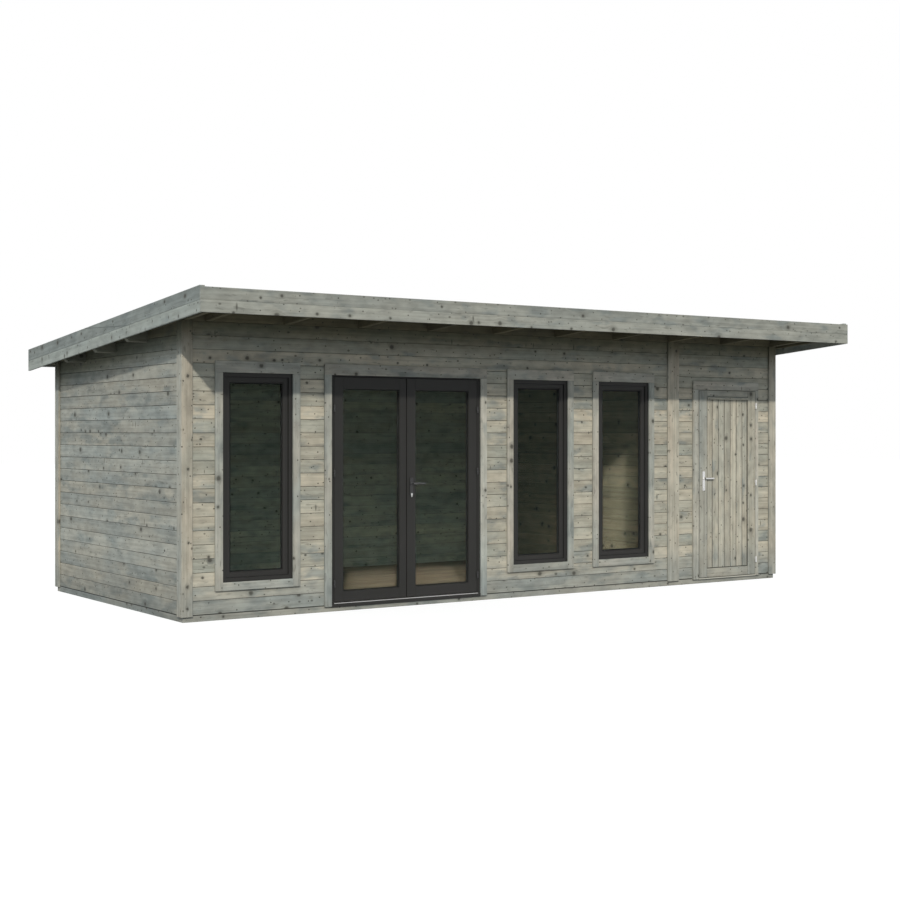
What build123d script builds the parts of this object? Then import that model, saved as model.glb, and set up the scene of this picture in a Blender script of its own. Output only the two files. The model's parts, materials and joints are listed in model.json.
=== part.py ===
from build123d import *
import os

# Timber garden house with a pent roof, a glazed double door, three fixed windows and a store
# with its own boarded door. Millimetres, +Z up. The doors face -Y, and the origin is on the
# ground under the middle of the roof's plan.

# Walls and base
wall_length = 6740
wall_depth = 2960
wall_thickness = 44
base_height = 54
base_width = 70
cross_beam_count = 11
floor_thickness = 19
door_opening_height = 1990
head_band_height = 404
roof_fall = 228

# Roof
front_overhang = 824
rear_overhang = 210
side_overhang = 220
rafter_width = 45
rafter_depth = 100
rafter_start = 218
rafter_count = 10
purlin_width = 58
purlin_depth = 85
purlin_chamfer = 30
purlin_shares = (0.25, 0.5, 0.75)
deck_thickness = 19
felt_thickness = 4
kerb_width = 25
kerb_height = 27

# Fascia boards
fascia_thickness = 20
lower_fascia_height = 96
front_upper_fascia_height = 99
side_upper_fascia_height = 112
fascia_drop = 62
rear_fascia_height = 120

# Cover boards on the walls
casing_thickness = 20
casing_overlap = 10
casing_width = 68
casing_header_height = 95
cover_drop = 10
corner_board_width = 98
partition_cover_width = 146

# Plain wall before each fitting along the front, left to right, as shares of what they leave:
# left window, double door, middle window, right window, partition cover, store door
pier_shares = (0.1384, 0.1631, 0.1617, 0.1655, 0.1274, 0.1339)

# Windows
window_width = 669
window_sill_height = 243
window_frame_width = 45
window_frame_depth = 70
window_frame_slope = 4
window_sash_width = 44
window_sash_depth = 50
window_sash_setback = 12
window_sash_slope = 11
window_glass_setback = 16
glass_thickness = 24

# Glazed double door
door_opening_width = 1585
door_frame_width = 38
door_head_height = 20
door_frame_depth = 70
door_leaf_thickness = 50
door_stile_width = 88
left_meeting_stile_width = 66
right_meeting_stile_width = 90
door_top_rail_height = 99
door_bottom_rail_height = 86
door_glass_setback = 14
glazing_bead_width = 5
glazing_bead_setback = 2
glazing_bead_slope = 3
meeting_gap = 8
meeting_shift = 13
stop_width = 14
threshold_thickness = 22
threshold_nose = 12
threshold_nose_fall = 5
sill_nose_height = 30
sill_nose_rise = 13
door_hinge_shares = (0.08, 0.57, 0.86)

# Boarded store door
store_opening_width = 874
store_jamb_width = 34
store_head_height = 68
store_leaf_thickness = 44
store_leaf_rise = 5
store_stile_width = 109
store_top_rail_height = 61
store_bottom_rail_height = 88
store_panel_thickness = 20
store_panel_setback = 14
store_casing_width = 76
store_casing_header_height = 88
store_threshold_height = 12
drip_bar_height = 30
drip_bar_depth = 26
drip_bar_fall = 10
store_hinge_shares = (0.08, 0.5, 0.92)

# Clearances
running_gap = 5
seam = 0.4
pin_gap = 0.5

# Hinges
barrel_radius = 8
barrel_length = 27
barrel_standoff = 1
cap_radius = 5
cap_height = 3
cap_round = 1.5
wing_thickness = 3
wing_length = 6

# Lever handles
plate_width = 34
plate_height = 160
plate_thickness = 8
plate_round = 9
plate_ease = 1.5
store_plate_height = 198
spindle_radius = 4
spindle_clearance = 1
collar_radius = 13
collar_length = 6
neck_radius = 9
neck_length = 34
bend_radius = 20
grip_length = 142
grip_end_round = 5
cylinder_radius = 8.5
cylinder_tail_width = 10
cylinder_tail_drop = 19.5
cylinder_length = 4
key_slot_width = 2
key_slot_height = 9
key_slot_depth = 3
lever_height = 1030
store_lever_height = 1017
lever_above_plate_middle = 26
cylinder_below_lever = 78
store_lever_inset = 56


# Places that the pieces share
left_end = -wall_length / 2
right_end = wall_length / 2
front_face = (front_overhang - wall_depth - rear_overhang) / 2
rear_face = front_face + wall_depth
wall_foot = base_height
wall_head = wall_foot + door_opening_height
front_wall_top = wall_head + head_band_height
room_front = front_face + wall_thickness
room_rear = rear_face - wall_thickness
room_left = left_end + wall_thickness
room_right = right_end - wall_thickness
cover_foot = wall_foot - cover_drop
cover_face = front_face - casing_thickness

roof_front = front_face - front_overhang
roof_rear = rear_face + rear_overhang
roof_left = left_end - side_overhang
roof_right = right_end + side_overhang
eave_front = roof_front + fascia_thickness
eave_rear = roof_rear - fascia_thickness
eave_left = roof_left + fascia_thickness
eave_right = roof_right - fascia_thickness
deck_top = rafter_depth + deck_thickness

# Fittings along the front: each has its cover boards' span and then its opening
casing_reach = casing_width - casing_overlap
window_span = window_width + 2 * casing_reach
door_span = door_opening_width + 2 * casing_reach
store_span = store_opening_width + store_casing_width - store_jamb_width + casing_overlap
fitting_spans = (window_span, door_span, window_span, window_span, partition_cover_width, store_span)
corner_return = corner_board_width - casing_thickness
plain_wall = wall_length - 2 * corner_return - sum(fitting_spans)
fittings = []
reached = left_end + corner_return
for pier_share, span in zip(pier_shares, fitting_spans):
    start = reached + pier_share * plain_wall
    reached = start + span
    fittings.append((start, reached))


def shrunk(span, margin):
    """A span drawn in by a margin at both ends."""
    return (span[0] + margin, span[1] - margin)


window_openings = [shrunk(fittings[place], casing_reach) for place in (0, 2, 3)]
window_z = (wall_foot + window_sill_height, wall_head)
door_opening = shrunk(fittings[1], casing_reach)
partition_cover = fittings[4]
partition = shrunk(partition_cover, (partition_cover_width - wall_thickness) / 2)
store_opening = (
    fittings[5][0] + store_casing_width - store_jamb_width,
    fittings[5][1] - casing_overlap,
)

# Named sub-parts, each a list of solids
nodes = {}


def bearing(y):
    """Height of the sloping plane on which the rafters sit."""
    return front_wall_top - roof_fall * (y - front_face) / wall_depth


def block(x, y, z):
    """A square-edged piece between two ends along each axis."""
    size = (x[1] - x[0], y[1] - y[0], z[1] - z[0])
    return Pos(x[0], y[0], z[0]) * Box(*size, align=(Align.MIN, Align.MIN, Align.MIN))


def side_profile(x, *points):
    """An outline seen from the side, in Y and Z, carried along X."""
    side = Plane(origin=(x[0], 0, 0), x_dir=(0, 1, 0), z_dir=(1, 0, 0))
    outline = make_face(Polyline(*points, close=True))
    return extrude(side * outline, x[1] - x[0])


def pitched(x, y, low, high):
    """A roof piece between two heights above the bearing plane, with plumb ends."""
    near, far = y
    return side_profile(
        x,
        (near, bearing(near) + low),
        (far, bearing(far) + low),
        (far, bearing(far) + high),
        (near, bearing(near) + high),
    )


def front_profile(y, *points):
    """An outline seen from the front, in X and Z, carried along Y."""
    front = Plane(origin=(0, y[1], 0), x_dir=(1, 0, 0), z_dir=(0, -1, 0))
    outline = make_face(Polyline(*points, close=True))
    return extrude(front * outline, y[1] - y[0])


def standing(x, y, foot):
    """An upright piece whose top is cut to the bearing plane."""
    near, far = y
    return side_profile(x, (near, foot), (far, foot), (far, bearing(far)), (near, bearing(near)))


def spaced(first, last, count):
    """Evenly spaced places from the first to the last."""
    step = (last - first) / (count - 1)
    return [first + step * number for number in range(count)]


def bars_round(x, z, y, sides, top, bottom):
    """Two uprights and two cross bars round an opening, parted by fine seams."""
    left = (x[0], x[0] + sides[0])
    right = (x[1] - sides[1], x[1])
    between = (left[1] + seam, right[0] - seam)
    return [
        block(left, y, z),
        block(right, y, z),
        block(between, y, (z[1] - top, z[1])),
        block(between, y, (z[0], z[0] + bottom)),
    ]


def mitred_bars(x, z, y, width, sloped_y, slope):
    """Four mitred bars round an opening, parted by fine seams, their inner edge sloped at one face."""
    inner_x = shrunk(x, width)
    inner_z = shrunk(z, width)
    long_x, long_z = shrunk(x, seam), shrunk(z, seam)
    short_x, short_z = shrunk(inner_x, seam), shrunk(inner_z, seam)
    outlines = []
    for outer, inner in zip(x, inner_x):
        outlines.append(((inner, short_z[0]), (inner, short_z[1]), (outer, long_z[1]), (outer, long_z[0])))
    for outer, inner in zip(z, inner_z):
        outlines.append(((short_x[0], inner), (short_x[1], inner), (long_x[1], outer), (long_x[0], outer)))
    bars = []
    for outline in outlines:
        bar = front_profile(y, *outline)
        (first_x, first_z), (second_x, second_z) = outline[:2]
        middle = ((first_x + second_x) / 2, sloped_y, (first_z + second_z) / 2)
        bars.append(chamfer(bar.edges().sort_by_distance(middle)[0], slope))
    return bars


def upright_cylinder(x, y, z, radius):
    """A round piece that stands from one height to another."""
    height = z[1] - z[0]
    standing_up = (Align.CENTER, Align.CENTER, Align.MIN)
    return Pos(x, y, z[0]) * Cylinder(radius, height, align=standing_up)


def cross_cylinder(x, z, y, radius):
    """A round piece that runs from one depth to another, along Y."""
    facing_back = Plane(origin=(x, y[0], z), x_dir=(1, 0, 0), z_dir=(0, 1, 0))
    return extrude(facing_back * Circle(radius), y[1] - y[0])


# Base beams and floor
def make_base():
    beam_z = (0, base_height)
    front_beam = (front_face, front_face + base_width)
    rear_beam = (rear_face - base_width, rear_face)
    between = (front_beam[1] + seam, rear_beam[0] - seam)
    solids = [
        block((left_end, right_end), front_beam, beam_z),
        block((left_end, right_end), rear_beam, beam_z),
    ]
    half = base_width / 2
    for middle in spaced(left_end + half, right_end - half, cross_beam_count):
        solids.append(block((middle - half, middle + half), between, beam_z))
    nodes["base_beams"] = solids


def make_floor():
    floor_z = (wall_foot, wall_foot + floor_thickness)
    main_floor = block((room_left, partition[0]), (room_front, room_rear), floor_z)
    store_floor = block((partition[1], room_right), (room_front, room_rear), floor_z)
    frame_y = (room_front, front_face + door_frame_depth)
    main_floor -= block(door_opening, frame_y, floor_z)
    store_floor -= block(store_opening, frame_y, floor_z)
    nodes["floor"] = [main_floor, store_floor]


# Walls
def make_walls():
    front_y = (front_face, room_front)
    wall_z = (wall_foot, wall_head)
    holes = [block(window, front_y, window_z) for window in window_openings]
    left = block((left_end, door_opening[0]), front_y, wall_z) - holes[0]
    middle = block((door_opening[1], store_opening[0]), front_y, wall_z)
    middle -= holes[1]
    middle -= holes[2]
    nodes["front_wall_left"] = [left]
    nodes["front_wall_middle"] = [middle]
    nodes["front_wall_right"] = [block((store_opening[1], right_end), front_y, wall_z)]
    nodes["front_wall_top"] = [standing((left_end, right_end), front_y, wall_head)]
    nodes["rear_wall"] = [standing((left_end, right_end), (room_rear, rear_face), wall_foot)]
    between = (room_front, room_rear)
    cross_walls = {
        "left_wall": (left_end, room_left),
        "right_wall": (room_right, right_end),
        "partition_wall": partition,
    }
    for name, x in cross_walls.items():
        wall = standing(x, between, wall_foot)
        for purlin_y in purlin_places():
            wall -= pitched(x, purlin_y, -purlin_depth, 0)
        nodes[name] = [wall]


def make_cover_boards():
    solids = []
    faces = ((front_face, -1), (rear_face, 1))
    ends = ((left_end, -1), (right_end, 1))
    for face, outward_y in faces:
        for end, outward_x in ends:
            wide_x = sorted((end + outward_x * casing_thickness,
                             end - outward_x * (corner_board_width - casing_thickness)))
            thin_y = sorted((face, face + outward_y * casing_thickness))
            thin_x = sorted((end, end + outward_x * casing_thickness))
            wide_y = sorted((face - outward_y * seam,
                             face - outward_y * (corner_board_width - casing_thickness)))
            solids.append(standing(wide_x, thin_y, cover_foot))
            solids.append(standing(thin_x, wide_y, cover_foot))
    nodes["corner_boards"] = solids
    nodes["partition_cover"] = [standing(partition_cover, (cover_face, front_face), cover_foot)]


# Windows
def make_windows():
    cover_y = (cover_face, front_face)
    frame_y = (front_face, front_face + window_frame_depth)
    sash_front = front_face + window_sash_setback
    sash_y = (sash_front, sash_front + window_sash_depth)
    glass_front = sash_front + window_glass_setback
    glass_y = (glass_front, glass_front + glass_thickness)
    names = ("left_window_frame", "middle_window_frame", "right_window_frame")
    panes = []
    casings = []
    for name, x in zip(names, window_openings):
        frame = mitred_bars(x, window_z, frame_y, window_frame_width, frame_y[0], window_frame_slope)
        sash_x = shrunk(x, window_frame_width + seam)
        sash_z = shrunk(window_z, window_frame_width + seam)
        sash = mitred_bars(sash_x, sash_z, sash_y, window_sash_width, sash_y[0], window_sash_slope)
        nodes[name] = frame + sash
        pane_x = shrunk(sash_x, window_sash_width)
        pane_z = shrunk(sash_z, window_sash_width)
        panes.append(block(pane_x, glass_y, pane_z))

        inner_x = shrunk(x, casing_overlap)
        outer_x = shrunk(inner_x, -casing_width)
        head = window_z[1] - casing_overlap
        sill = window_z[0] + casing_overlap
        foot = sill - casing_width
        side_z = (foot, head - seam)
        casings.append(block((outer_x[0], inner_x[0]), cover_y, side_z))
        casings.append(block((inner_x[1], outer_x[1]), cover_y, side_z))
        casings.append(block(shrunk(inner_x, seam), cover_y, (foot, sill)))
        casings.append(block(outer_x, cover_y, (head, head + casing_header_height)))
    nodes["window_glass"] = panes
    nodes["window_casings"] = casings


# Shared door ironmongery
def hinge_half(axis, face, z, wing_side, cap_side):
    """Half of a lift-off hinge: a capped barrel on the pin line and a wing on the face beside it."""
    axis_x, axis_y = axis
    barrel = upright_cylinder(axis_x, axis_y, z, barrel_radius)
    cap_z = (z[1], z[1] + cap_height) if cap_side > 0 else (z[0] - cap_height, z[0])
    cap = upright_cylinder(axis_x, axis_y, cap_z, cap_radius)
    cap_end = cap.edges().filter_by(GeomType.CIRCLE).sort_by(Axis.Z)[-1 if cap_side > 0 else 0]
    barrel += fillet(cap_end, cap_round)
    near = axis_x + wing_side * running_gap / 2
    far = near + wing_side * wing_length
    return barrel + block(sorted((near, far)), (face - wing_thickness, face), z)


def hinge_pairs(axis, face, leaf_z, shares, leaf_side):
    """Leaf halves and frame halves of the hinges along one pin line."""
    leaf_halves = []
    frame_halves = []
    for share in shares:
        middle = leaf_z[0] + share * (leaf_z[1] - leaf_z[0])
        upper = (middle + pin_gap / 2, middle + barrel_length)
        lower = (middle - barrel_length, middle - pin_gap / 2)
        leaf_halves.append(hinge_half(axis, face, upper, leaf_side, 1))
        frame_halves.append(hinge_half(axis, face, lower, -leaf_side, -1))
    return leaf_halves, frame_halves


def lever(x, z, leaf_y):
    """Inner and outer lever on one spindle, each a round bar that bends towards +X."""
    outer_face = leaf_y[0] - plate_thickness
    inner_face = leaf_y[1] + plate_thickness
    spindle_y = (outer_face - collar_length, inner_face + collar_length)
    handle = cross_cylinder(x, z, spindle_y, spindle_radius)
    for face, outward in ((outer_face, -1), (inner_face, 1)):
        start = face + outward * pin_gap
        collar_end = start + outward * collar_length
        grip_y = face + outward * (neck_length + neck_radius)
        corners = ((x, start, z), (x, grip_y, z), (x + grip_length, grip_y, z))
        path = FilletPolyline(*corners, radius=bend_radius)
        section = Plane(origin=(x, start, z), z_dir=(0, outward, 0)) * Circle(neck_radius)
        bar = sweep(section, path=path)
        tip = bar.edges().filter_by(GeomType.CIRCLE).sort_by(Axis.X)[-1]
        handle += fillet(tip, grip_end_round)
        handle += cross_cylinder(x, z, sorted((start, collar_end)), collar_radius)
    return handle


def lock_cylinder(x, z, face, outward):
    """The end of a lock cylinder that stands out of its plate: round above, narrow below, with a key slot."""
    side = Plane(origin=(x, face, z), x_dir=(outward, 0, 0), z_dir=(0, outward, 0))
    outline = Circle(cylinder_radius)
    tail = Rectangle(cylinder_tail_width, cylinder_tail_drop, align=(Align.CENTER, Align.MIN))
    outline += tail
    outline += Pos(0, cylinder_tail_drop) * Circle(cylinder_tail_width / 2)
    reach = plate_thickness + cylinder_length
    slot_z = (z - key_slot_height / 2, z + key_slot_height / 2)
    slot_x = (x - key_slot_width / 2, x + key_slot_width / 2)
    rim = face + outward * reach
    key_slot = block(slot_x, sorted((rim, rim - outward * key_slot_depth)), slot_z)
    return extrude(side * outline, reach) - key_slot


def lever_plates(x, z, leaf_y, height):
    """Rounded backplates on both faces of a leaf, bored for the spindle, with a lock cylinder in each."""
    middle = z - lever_above_plate_middle
    plate_x = (x - plate_width / 2, x + plate_width / 2)
    plate_z = (middle - height / 2, middle + height / 2)
    bore_radius = spindle_radius + spindle_clearance
    solids = []
    for face, outward in ((leaf_y[0], -1), (leaf_y[1], 1)):
        plate_y = sorted((face, face + outward * plate_thickness))
        plate = block(plate_x, plate_y, plate_z)
        plate = fillet(plate.edges().filter_by(Axis.Y), plate_round)
        front = plate.faces().sort_by(Axis.Y)[0 if outward < 0 else -1]
        plate = chamfer(front.edges(), plate_ease)
        plate -= cross_cylinder(x, z, plate_y, bore_radius)
        plate += lock_cylinder(x, z - cylinder_below_lever, face, outward)
        solids.append(plate)
    return solids


# Glazed double door
def make_double_door():
    frame_y = (front_face, front_face + door_frame_depth)
    leaf_y = (front_face, front_face + door_leaf_thickness)
    stop_y = (leaf_y[1] + running_gap, frame_y[1])
    clear_x = shrunk(door_opening, door_frame_width)
    clear_top = wall_head - door_head_height
    jamb_z = (wall_foot, wall_head)
    stop_x = shrunk(clear_x, seam)
    stop_top = clear_top - seam
    stop_z = (wall_foot + threshold_thickness + seam, stop_top)
    stop_under = stop_top - stop_width
    between_stops = shrunk(stop_x, stop_width + seam)
    nodes["double_door_frame"] = [
        block((door_opening[0], clear_x[0]), frame_y, jamb_z),
        block((clear_x[1], door_opening[1]), frame_y, jamb_z),
        block(shrunk(clear_x, seam), frame_y, (clear_top, wall_head)),
        block((stop_x[0], stop_x[0] + stop_width), stop_y, stop_z),
        block((stop_x[1] - stop_width, stop_x[1]), stop_y, stop_z),
        block(between_stops, stop_y, (stop_under, stop_top)),
    ]
    threshold_y = (front_face - threshold_nose, frame_y[1])
    threshold_z = (wall_foot, wall_foot + threshold_thickness)
    nose_y = (front_face - threshold_nose, front_face)
    nose_top = wall_foot + sill_nose_rise
    nose_z = (nose_top - sill_nose_height, nose_top - seam)
    nose_x = shrunk(door_opening, casing_overlap)
    nodes["double_door_threshold"] = [
        side_profile(
            clear_x,
            (threshold_y[0], nose_top),
            (threshold_y[1], nose_top),
            (threshold_y[1], threshold_z[1]),
            (front_face, threshold_z[1]),
            (threshold_y[0], threshold_z[1] - threshold_nose_fall),
        ),
        block(nose_x, nose_y, nose_z),
        block(clear_x, (front_face + seam, threshold_y[1]), (threshold_z[0], nose_z[1])),
    ]

    cover_y = (cover_face, front_face)
    inner_x = shrunk(door_opening, casing_overlap)
    outer_x = shrunk(inner_x, -casing_width)
    head = wall_head - casing_overlap
    nodes["double_door_casing"] = [
        block((outer_x[0], inner_x[0]), cover_y, (cover_foot, head - seam)),
        block((inner_x[1], outer_x[1]), cover_y, (cover_foot, head - seam)),
        block(outer_x, cover_y, (head, head + casing_header_height)),
    ]

    leaf_z = (threshold_z[1] + running_gap, clear_top - running_gap)
    meeting = (clear_x[0] + clear_x[1]) / 2 - meeting_shift
    axis_y = front_face - barrel_standoff - barrel_radius
    left_x = (clear_x[0] + running_gap, meeting - meeting_gap / 2)
    right_x = (meeting + meeting_gap / 2, clear_x[1] - running_gap)
    sides = {
        "left": (left_x, (door_stile_width, left_meeting_stile_width), clear_x[0], 1),
        "right": (right_x, (right_meeting_stile_width, door_stile_width), clear_x[1], -1),
    }
    frame_hinges = []
    for side, (leaf_x, stiles, jamb_face, inward) in sides.items():
        bars = bars_round(leaf_x, leaf_z, leaf_y, stiles, door_top_rail_height, door_bottom_rail_height)
        pane_x = (leaf_x[0] + stiles[0], leaf_x[1] - stiles[1])
        pane_z = (leaf_z[0] + door_bottom_rail_height, leaf_z[1] - door_top_rail_height)
        pane_front = leaf_y[0] + door_glass_setback
        pane_y = (pane_front, pane_front + glass_thickness)
        bead_x, bead_z = shrunk(pane_x, seam), shrunk(pane_z, seam)
        front_bead = (leaf_y[0] + glazing_bead_setback, pane_y[0])
        rear_bead = (pane_y[1], leaf_y[1] - glazing_bead_setback)
        nodes[side + "_leaf_beads"] = [
            *mitred_bars(bead_x, bead_z, front_bead, glazing_bead_width, front_bead[0], glazing_bead_slope),
            *mitred_bars(bead_x, bead_z, rear_bead, glazing_bead_width, rear_bead[1], glazing_bead_slope),
        ]
        axis = (jamb_face + inward * running_gap / 2, axis_y)
        halves = hinge_pairs(axis, front_face, leaf_z, door_hinge_shares, inward)
        if side == "right":
            lever_x = leaf_x[0] + stiles[0] / 2
            lever_z = wall_foot + lever_height
            bore = cross_cylinder(lever_x, lever_z, leaf_y, spindle_radius + spindle_clearance)
            bars[0] -= bore
            nodes["right_leaf_lock_plates"] = lever_plates(lever_x, lever_z, leaf_y, plate_height)
            nodes["right_leaf_lever"] = [lever(lever_x, lever_z, leaf_y)]
        nodes[side + "_leaf_frame"] = bars
        nodes[side + "_leaf_glass"] = [block(pane_x, pane_y, pane_z)]
        nodes[side + "_leaf_hinges"] = halves[0]
        frame_hinges += halves[1]
    nodes["double_door_frame_hinges"] = frame_hinges


# Boarded store door
def make_store_door():
    leaf_front = cover_face
    leaf_y = (leaf_front, leaf_front + store_leaf_thickness)
    frame_y = (front_face, front_face + door_frame_depth)
    stop_y = (leaf_y[1] + running_gap, frame_y[1])
    clear_x = shrunk(store_opening, store_jamb_width)
    clear_top = wall_head - store_head_height
    leaf_z = (wall_foot + store_leaf_rise, clear_top - running_gap)
    stop_x = shrunk(clear_x, seam)
    stop_top = clear_top - seam
    stop_z = (wall_foot + seam, stop_top)
    between_stops = shrunk(stop_x, stop_width + seam)
    nodes["store_door_frame"] = [
        block((store_opening[0], clear_x[0]), frame_y, (wall_foot, wall_head)),
        block((clear_x[1], store_opening[1]), frame_y, (wall_foot, wall_head)),
        block(shrunk(clear_x, seam), frame_y, (clear_top, wall_head)),
        block((stop_x[0], stop_x[0] + stop_width), stop_y, stop_z),
        block((stop_x[1] - stop_width, stop_x[1]), stop_y, stop_z),
        block(between_stops, stop_y, (stop_top - stop_width, stop_top)),
    ]
    cover_y = (cover_face, front_face)
    outer_left = clear_x[0] - store_casing_width
    outer_right = store_opening[1] + casing_overlap
    side_z = (cover_foot, clear_top - seam)
    nodes["store_door_casing"] = [
        block((outer_left, clear_x[0]), cover_y, side_z),
        block((clear_x[1], outer_right), cover_y, side_z),
        block((outer_left, outer_right), cover_y, (clear_top, clear_top + store_casing_header_height)),
    ]
    strip_z = (wall_foot - store_threshold_height, wall_foot - seam)
    nodes["store_door_threshold"] = [block(shrunk(clear_x, seam), cover_y, strip_z)]

    leaf_x = shrunk(clear_x, running_gap)
    stiles = (store_stile_width, store_stile_width)
    bars = bars_round(leaf_x, leaf_z, leaf_y, stiles, store_top_rail_height, store_bottom_rail_height)
    panel_x = shrunk(leaf_x, store_stile_width)
    panel_z = (leaf_z[0] + store_bottom_rail_height, leaf_z[1] - store_top_rail_height)
    panel_front = leaf_y[0] + store_panel_setback
    nodes["store_leaf_panel"] = [
        block(panel_x, (panel_front, panel_front + store_panel_thickness), panel_z)
    ]
    drip_front = panel_front - drip_bar_depth
    nodes["store_leaf_drip_bar"] = [
        side_profile(
            shrunk(panel_x, seam),
            (panel_front, panel_z[1] - drip_bar_height),
            (panel_front, panel_z[1]),
            (drip_front, panel_z[1] - drip_bar_fall),
            (drip_front, panel_z[1] - drip_bar_height),
        )
    ]
    axis_y = leaf_front - barrel_standoff - barrel_radius
    axis = (clear_x[1] - running_gap / 2, axis_y)
    halves = hinge_pairs(axis, leaf_front, leaf_z, store_hinge_shares, -1)
    nodes["store_leaf_hinges"] = halves[0]
    nodes["store_frame_hinges"] = halves[1]
    lever_x = leaf_x[0] + store_lever_inset
    lever_z = wall_foot + store_lever_height
    bars[0] -= cross_cylinder(lever_x, lever_z, leaf_y, spindle_radius + spindle_clearance)
    nodes["store_leaf_frame"] = bars
    nodes["store_leaf_lock_plates"] = lever_plates(lever_x, lever_z, leaf_y, store_plate_height)
    nodes["store_leaf_lever"] = [lever(lever_x, lever_z, leaf_y)]


# Roof
def purlin_places():
    half = purlin_width / 2
    middles = [front_face + share * wall_depth for share in purlin_shares]
    return [(middle - half, middle + half) for middle in middles]


def rafter_places():
    """Rafters in the eaves and over both side walls, evenly spaced from the right, with a narrow last bay."""
    half = rafter_width / 2
    even_row = spaced(left_end + rafter_start, right_end - half, rafter_count)
    middles = [eave_left + half, left_end + half, *even_row, eave_right - half]
    return [(middle - half, middle + half) for middle in middles]


def make_roof():
    rafters = rafter_places()
    purlins = []
    for y in purlin_places():
        purlin = pitched((eave_left, eave_right), y, -purlin_depth, 0)
        for end in (purlin.faces().sort_by(Axis.X)[0], purlin.faces().sort_by(Axis.X)[-1]):
            lower_edge = end.edges().sort_by(Axis.Z)[0]
            purlin = chamfer(
                [edge for edge in purlin.edges() if edge.center() == lower_edge.center()],
                purlin_chamfer,
            )
        purlins.append(purlin)
    nodes["purlins"] = purlins
    nodes["rafters"] = [pitched(x, (eave_front, eave_rear), 0, rafter_depth) for x in rafters]
    blocking = []
    for wall_y in ((front_face, room_front), (room_rear, rear_face)):
        for left, right in zip(rafters[1:-2], rafters[2:-1]):
            blocking.append(pitched((left[1], right[0]), wall_y, 0, rafter_depth))
    nodes["eave_blocking"] = blocking
    deck_x = (eave_left, eave_right)
    deck_y = (eave_front, roof_rear)
    nodes["roof_deck"] = [pitched(deck_x, deck_y, rafter_depth, deck_top)]
    felt_x = shrunk(deck_x, kerb_width)
    nodes["roof_felt"] = [pitched(felt_x, deck_y, deck_top, deck_top + felt_thickness)]
    nodes["roof_kerbs"] = [
        pitched((deck_x[0], felt_x[0]), deck_y, deck_top, deck_top + kerb_height),
        pitched((felt_x[1], deck_x[1]), deck_y, deck_top, deck_top + kerb_height),
    ]


def make_fascias():
    front_foot = bearing(roof_front) - fascia_drop
    front_seam = front_foot + lower_fascia_height
    front_head = front_seam + front_upper_fascia_height
    front_x = (roof_left, roof_right)
    front_y = (roof_front, eave_front)
    nodes["front_fascia"] = [
        block(front_x, front_y, (front_foot, front_seam - seam)),
        block(front_x, front_y, (front_seam, front_head)),
    ]
    side_seam = lower_fascia_height - fascia_drop
    side_y = (eave_front, roof_rear)
    side_boards = []
    for x in ((roof_left, eave_left), (eave_right, roof_right)):
        side_boards.append(pitched(x, side_y, -fascia_drop, side_seam - seam))
        side_boards.append(pitched(x, side_y, side_seam, side_seam + side_upper_fascia_height))
    nodes["side_fascias"] = side_boards
    rear_y = (eave_rear, roof_rear)
    rear_x = (eave_left, eave_right)
    rear_low = rafter_depth - rear_fascia_height
    nodes["rear_fascia"] = [pitched(rear_x, rear_y, rear_low, rafter_depth)]


make_base()
make_floor()
make_walls()
make_cover_boards()
make_windows()
make_double_door()
make_store_door()
make_roof()
make_fascias()

os.makedirs("parts", exist_ok=True)
for name, shapes in nodes.items():
    solids = [solid for shape in shapes for solid in shape.solids()]
    export_step(Compound(solids), "parts/" + name + ".step")
    print(name, len(solids))
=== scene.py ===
# %% [markdown]
# # A weathered timber garden house
# The house has a low pent roof, planked walls, a glazed double door, three tall windows and a store
# with its own boarded door. The frame holds all of it as plain solids at their real size. This lesson
# dresses that frame: every wall becomes planks, every frame becomes joinery, and every surface gets a
# finish. Nothing is moved or resized, so each place below is read from the frame.

# %% Load the frame
import json
import math
from itertools import count

import bmesh
import bpy
import numpy as np
from mathutils import Matrix, Vector


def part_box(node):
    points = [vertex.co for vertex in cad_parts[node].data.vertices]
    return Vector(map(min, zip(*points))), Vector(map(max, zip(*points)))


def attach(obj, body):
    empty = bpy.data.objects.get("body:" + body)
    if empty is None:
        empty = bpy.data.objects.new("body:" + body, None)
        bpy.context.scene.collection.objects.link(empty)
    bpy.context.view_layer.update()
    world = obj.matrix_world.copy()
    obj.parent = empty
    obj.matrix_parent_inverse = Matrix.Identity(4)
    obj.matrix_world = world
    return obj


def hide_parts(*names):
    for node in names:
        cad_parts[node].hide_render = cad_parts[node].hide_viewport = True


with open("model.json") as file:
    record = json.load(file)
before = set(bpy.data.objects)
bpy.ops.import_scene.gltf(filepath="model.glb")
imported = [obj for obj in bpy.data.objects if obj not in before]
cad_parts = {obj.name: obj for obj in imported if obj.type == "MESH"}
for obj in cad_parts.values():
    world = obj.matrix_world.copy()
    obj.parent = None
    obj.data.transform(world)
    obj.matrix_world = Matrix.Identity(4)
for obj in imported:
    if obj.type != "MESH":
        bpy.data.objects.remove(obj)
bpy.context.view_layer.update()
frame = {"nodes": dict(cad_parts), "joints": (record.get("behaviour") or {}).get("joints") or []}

# %% [markdown]
# ## Camera
# The picture is a level view from the front left at eye height. A camera tilted down would make upright
# edges lean, so it stays level and a small shift lowers the view instead, as a view camera does.

# %% Camera
photo_size = 900
focal_pixels = 1491
horizon_row = 432.95
sensor_width = 36
camera_place = (-8.322, -12.364, 1.536)
camera_heading = math.radians(-34.03)

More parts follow.
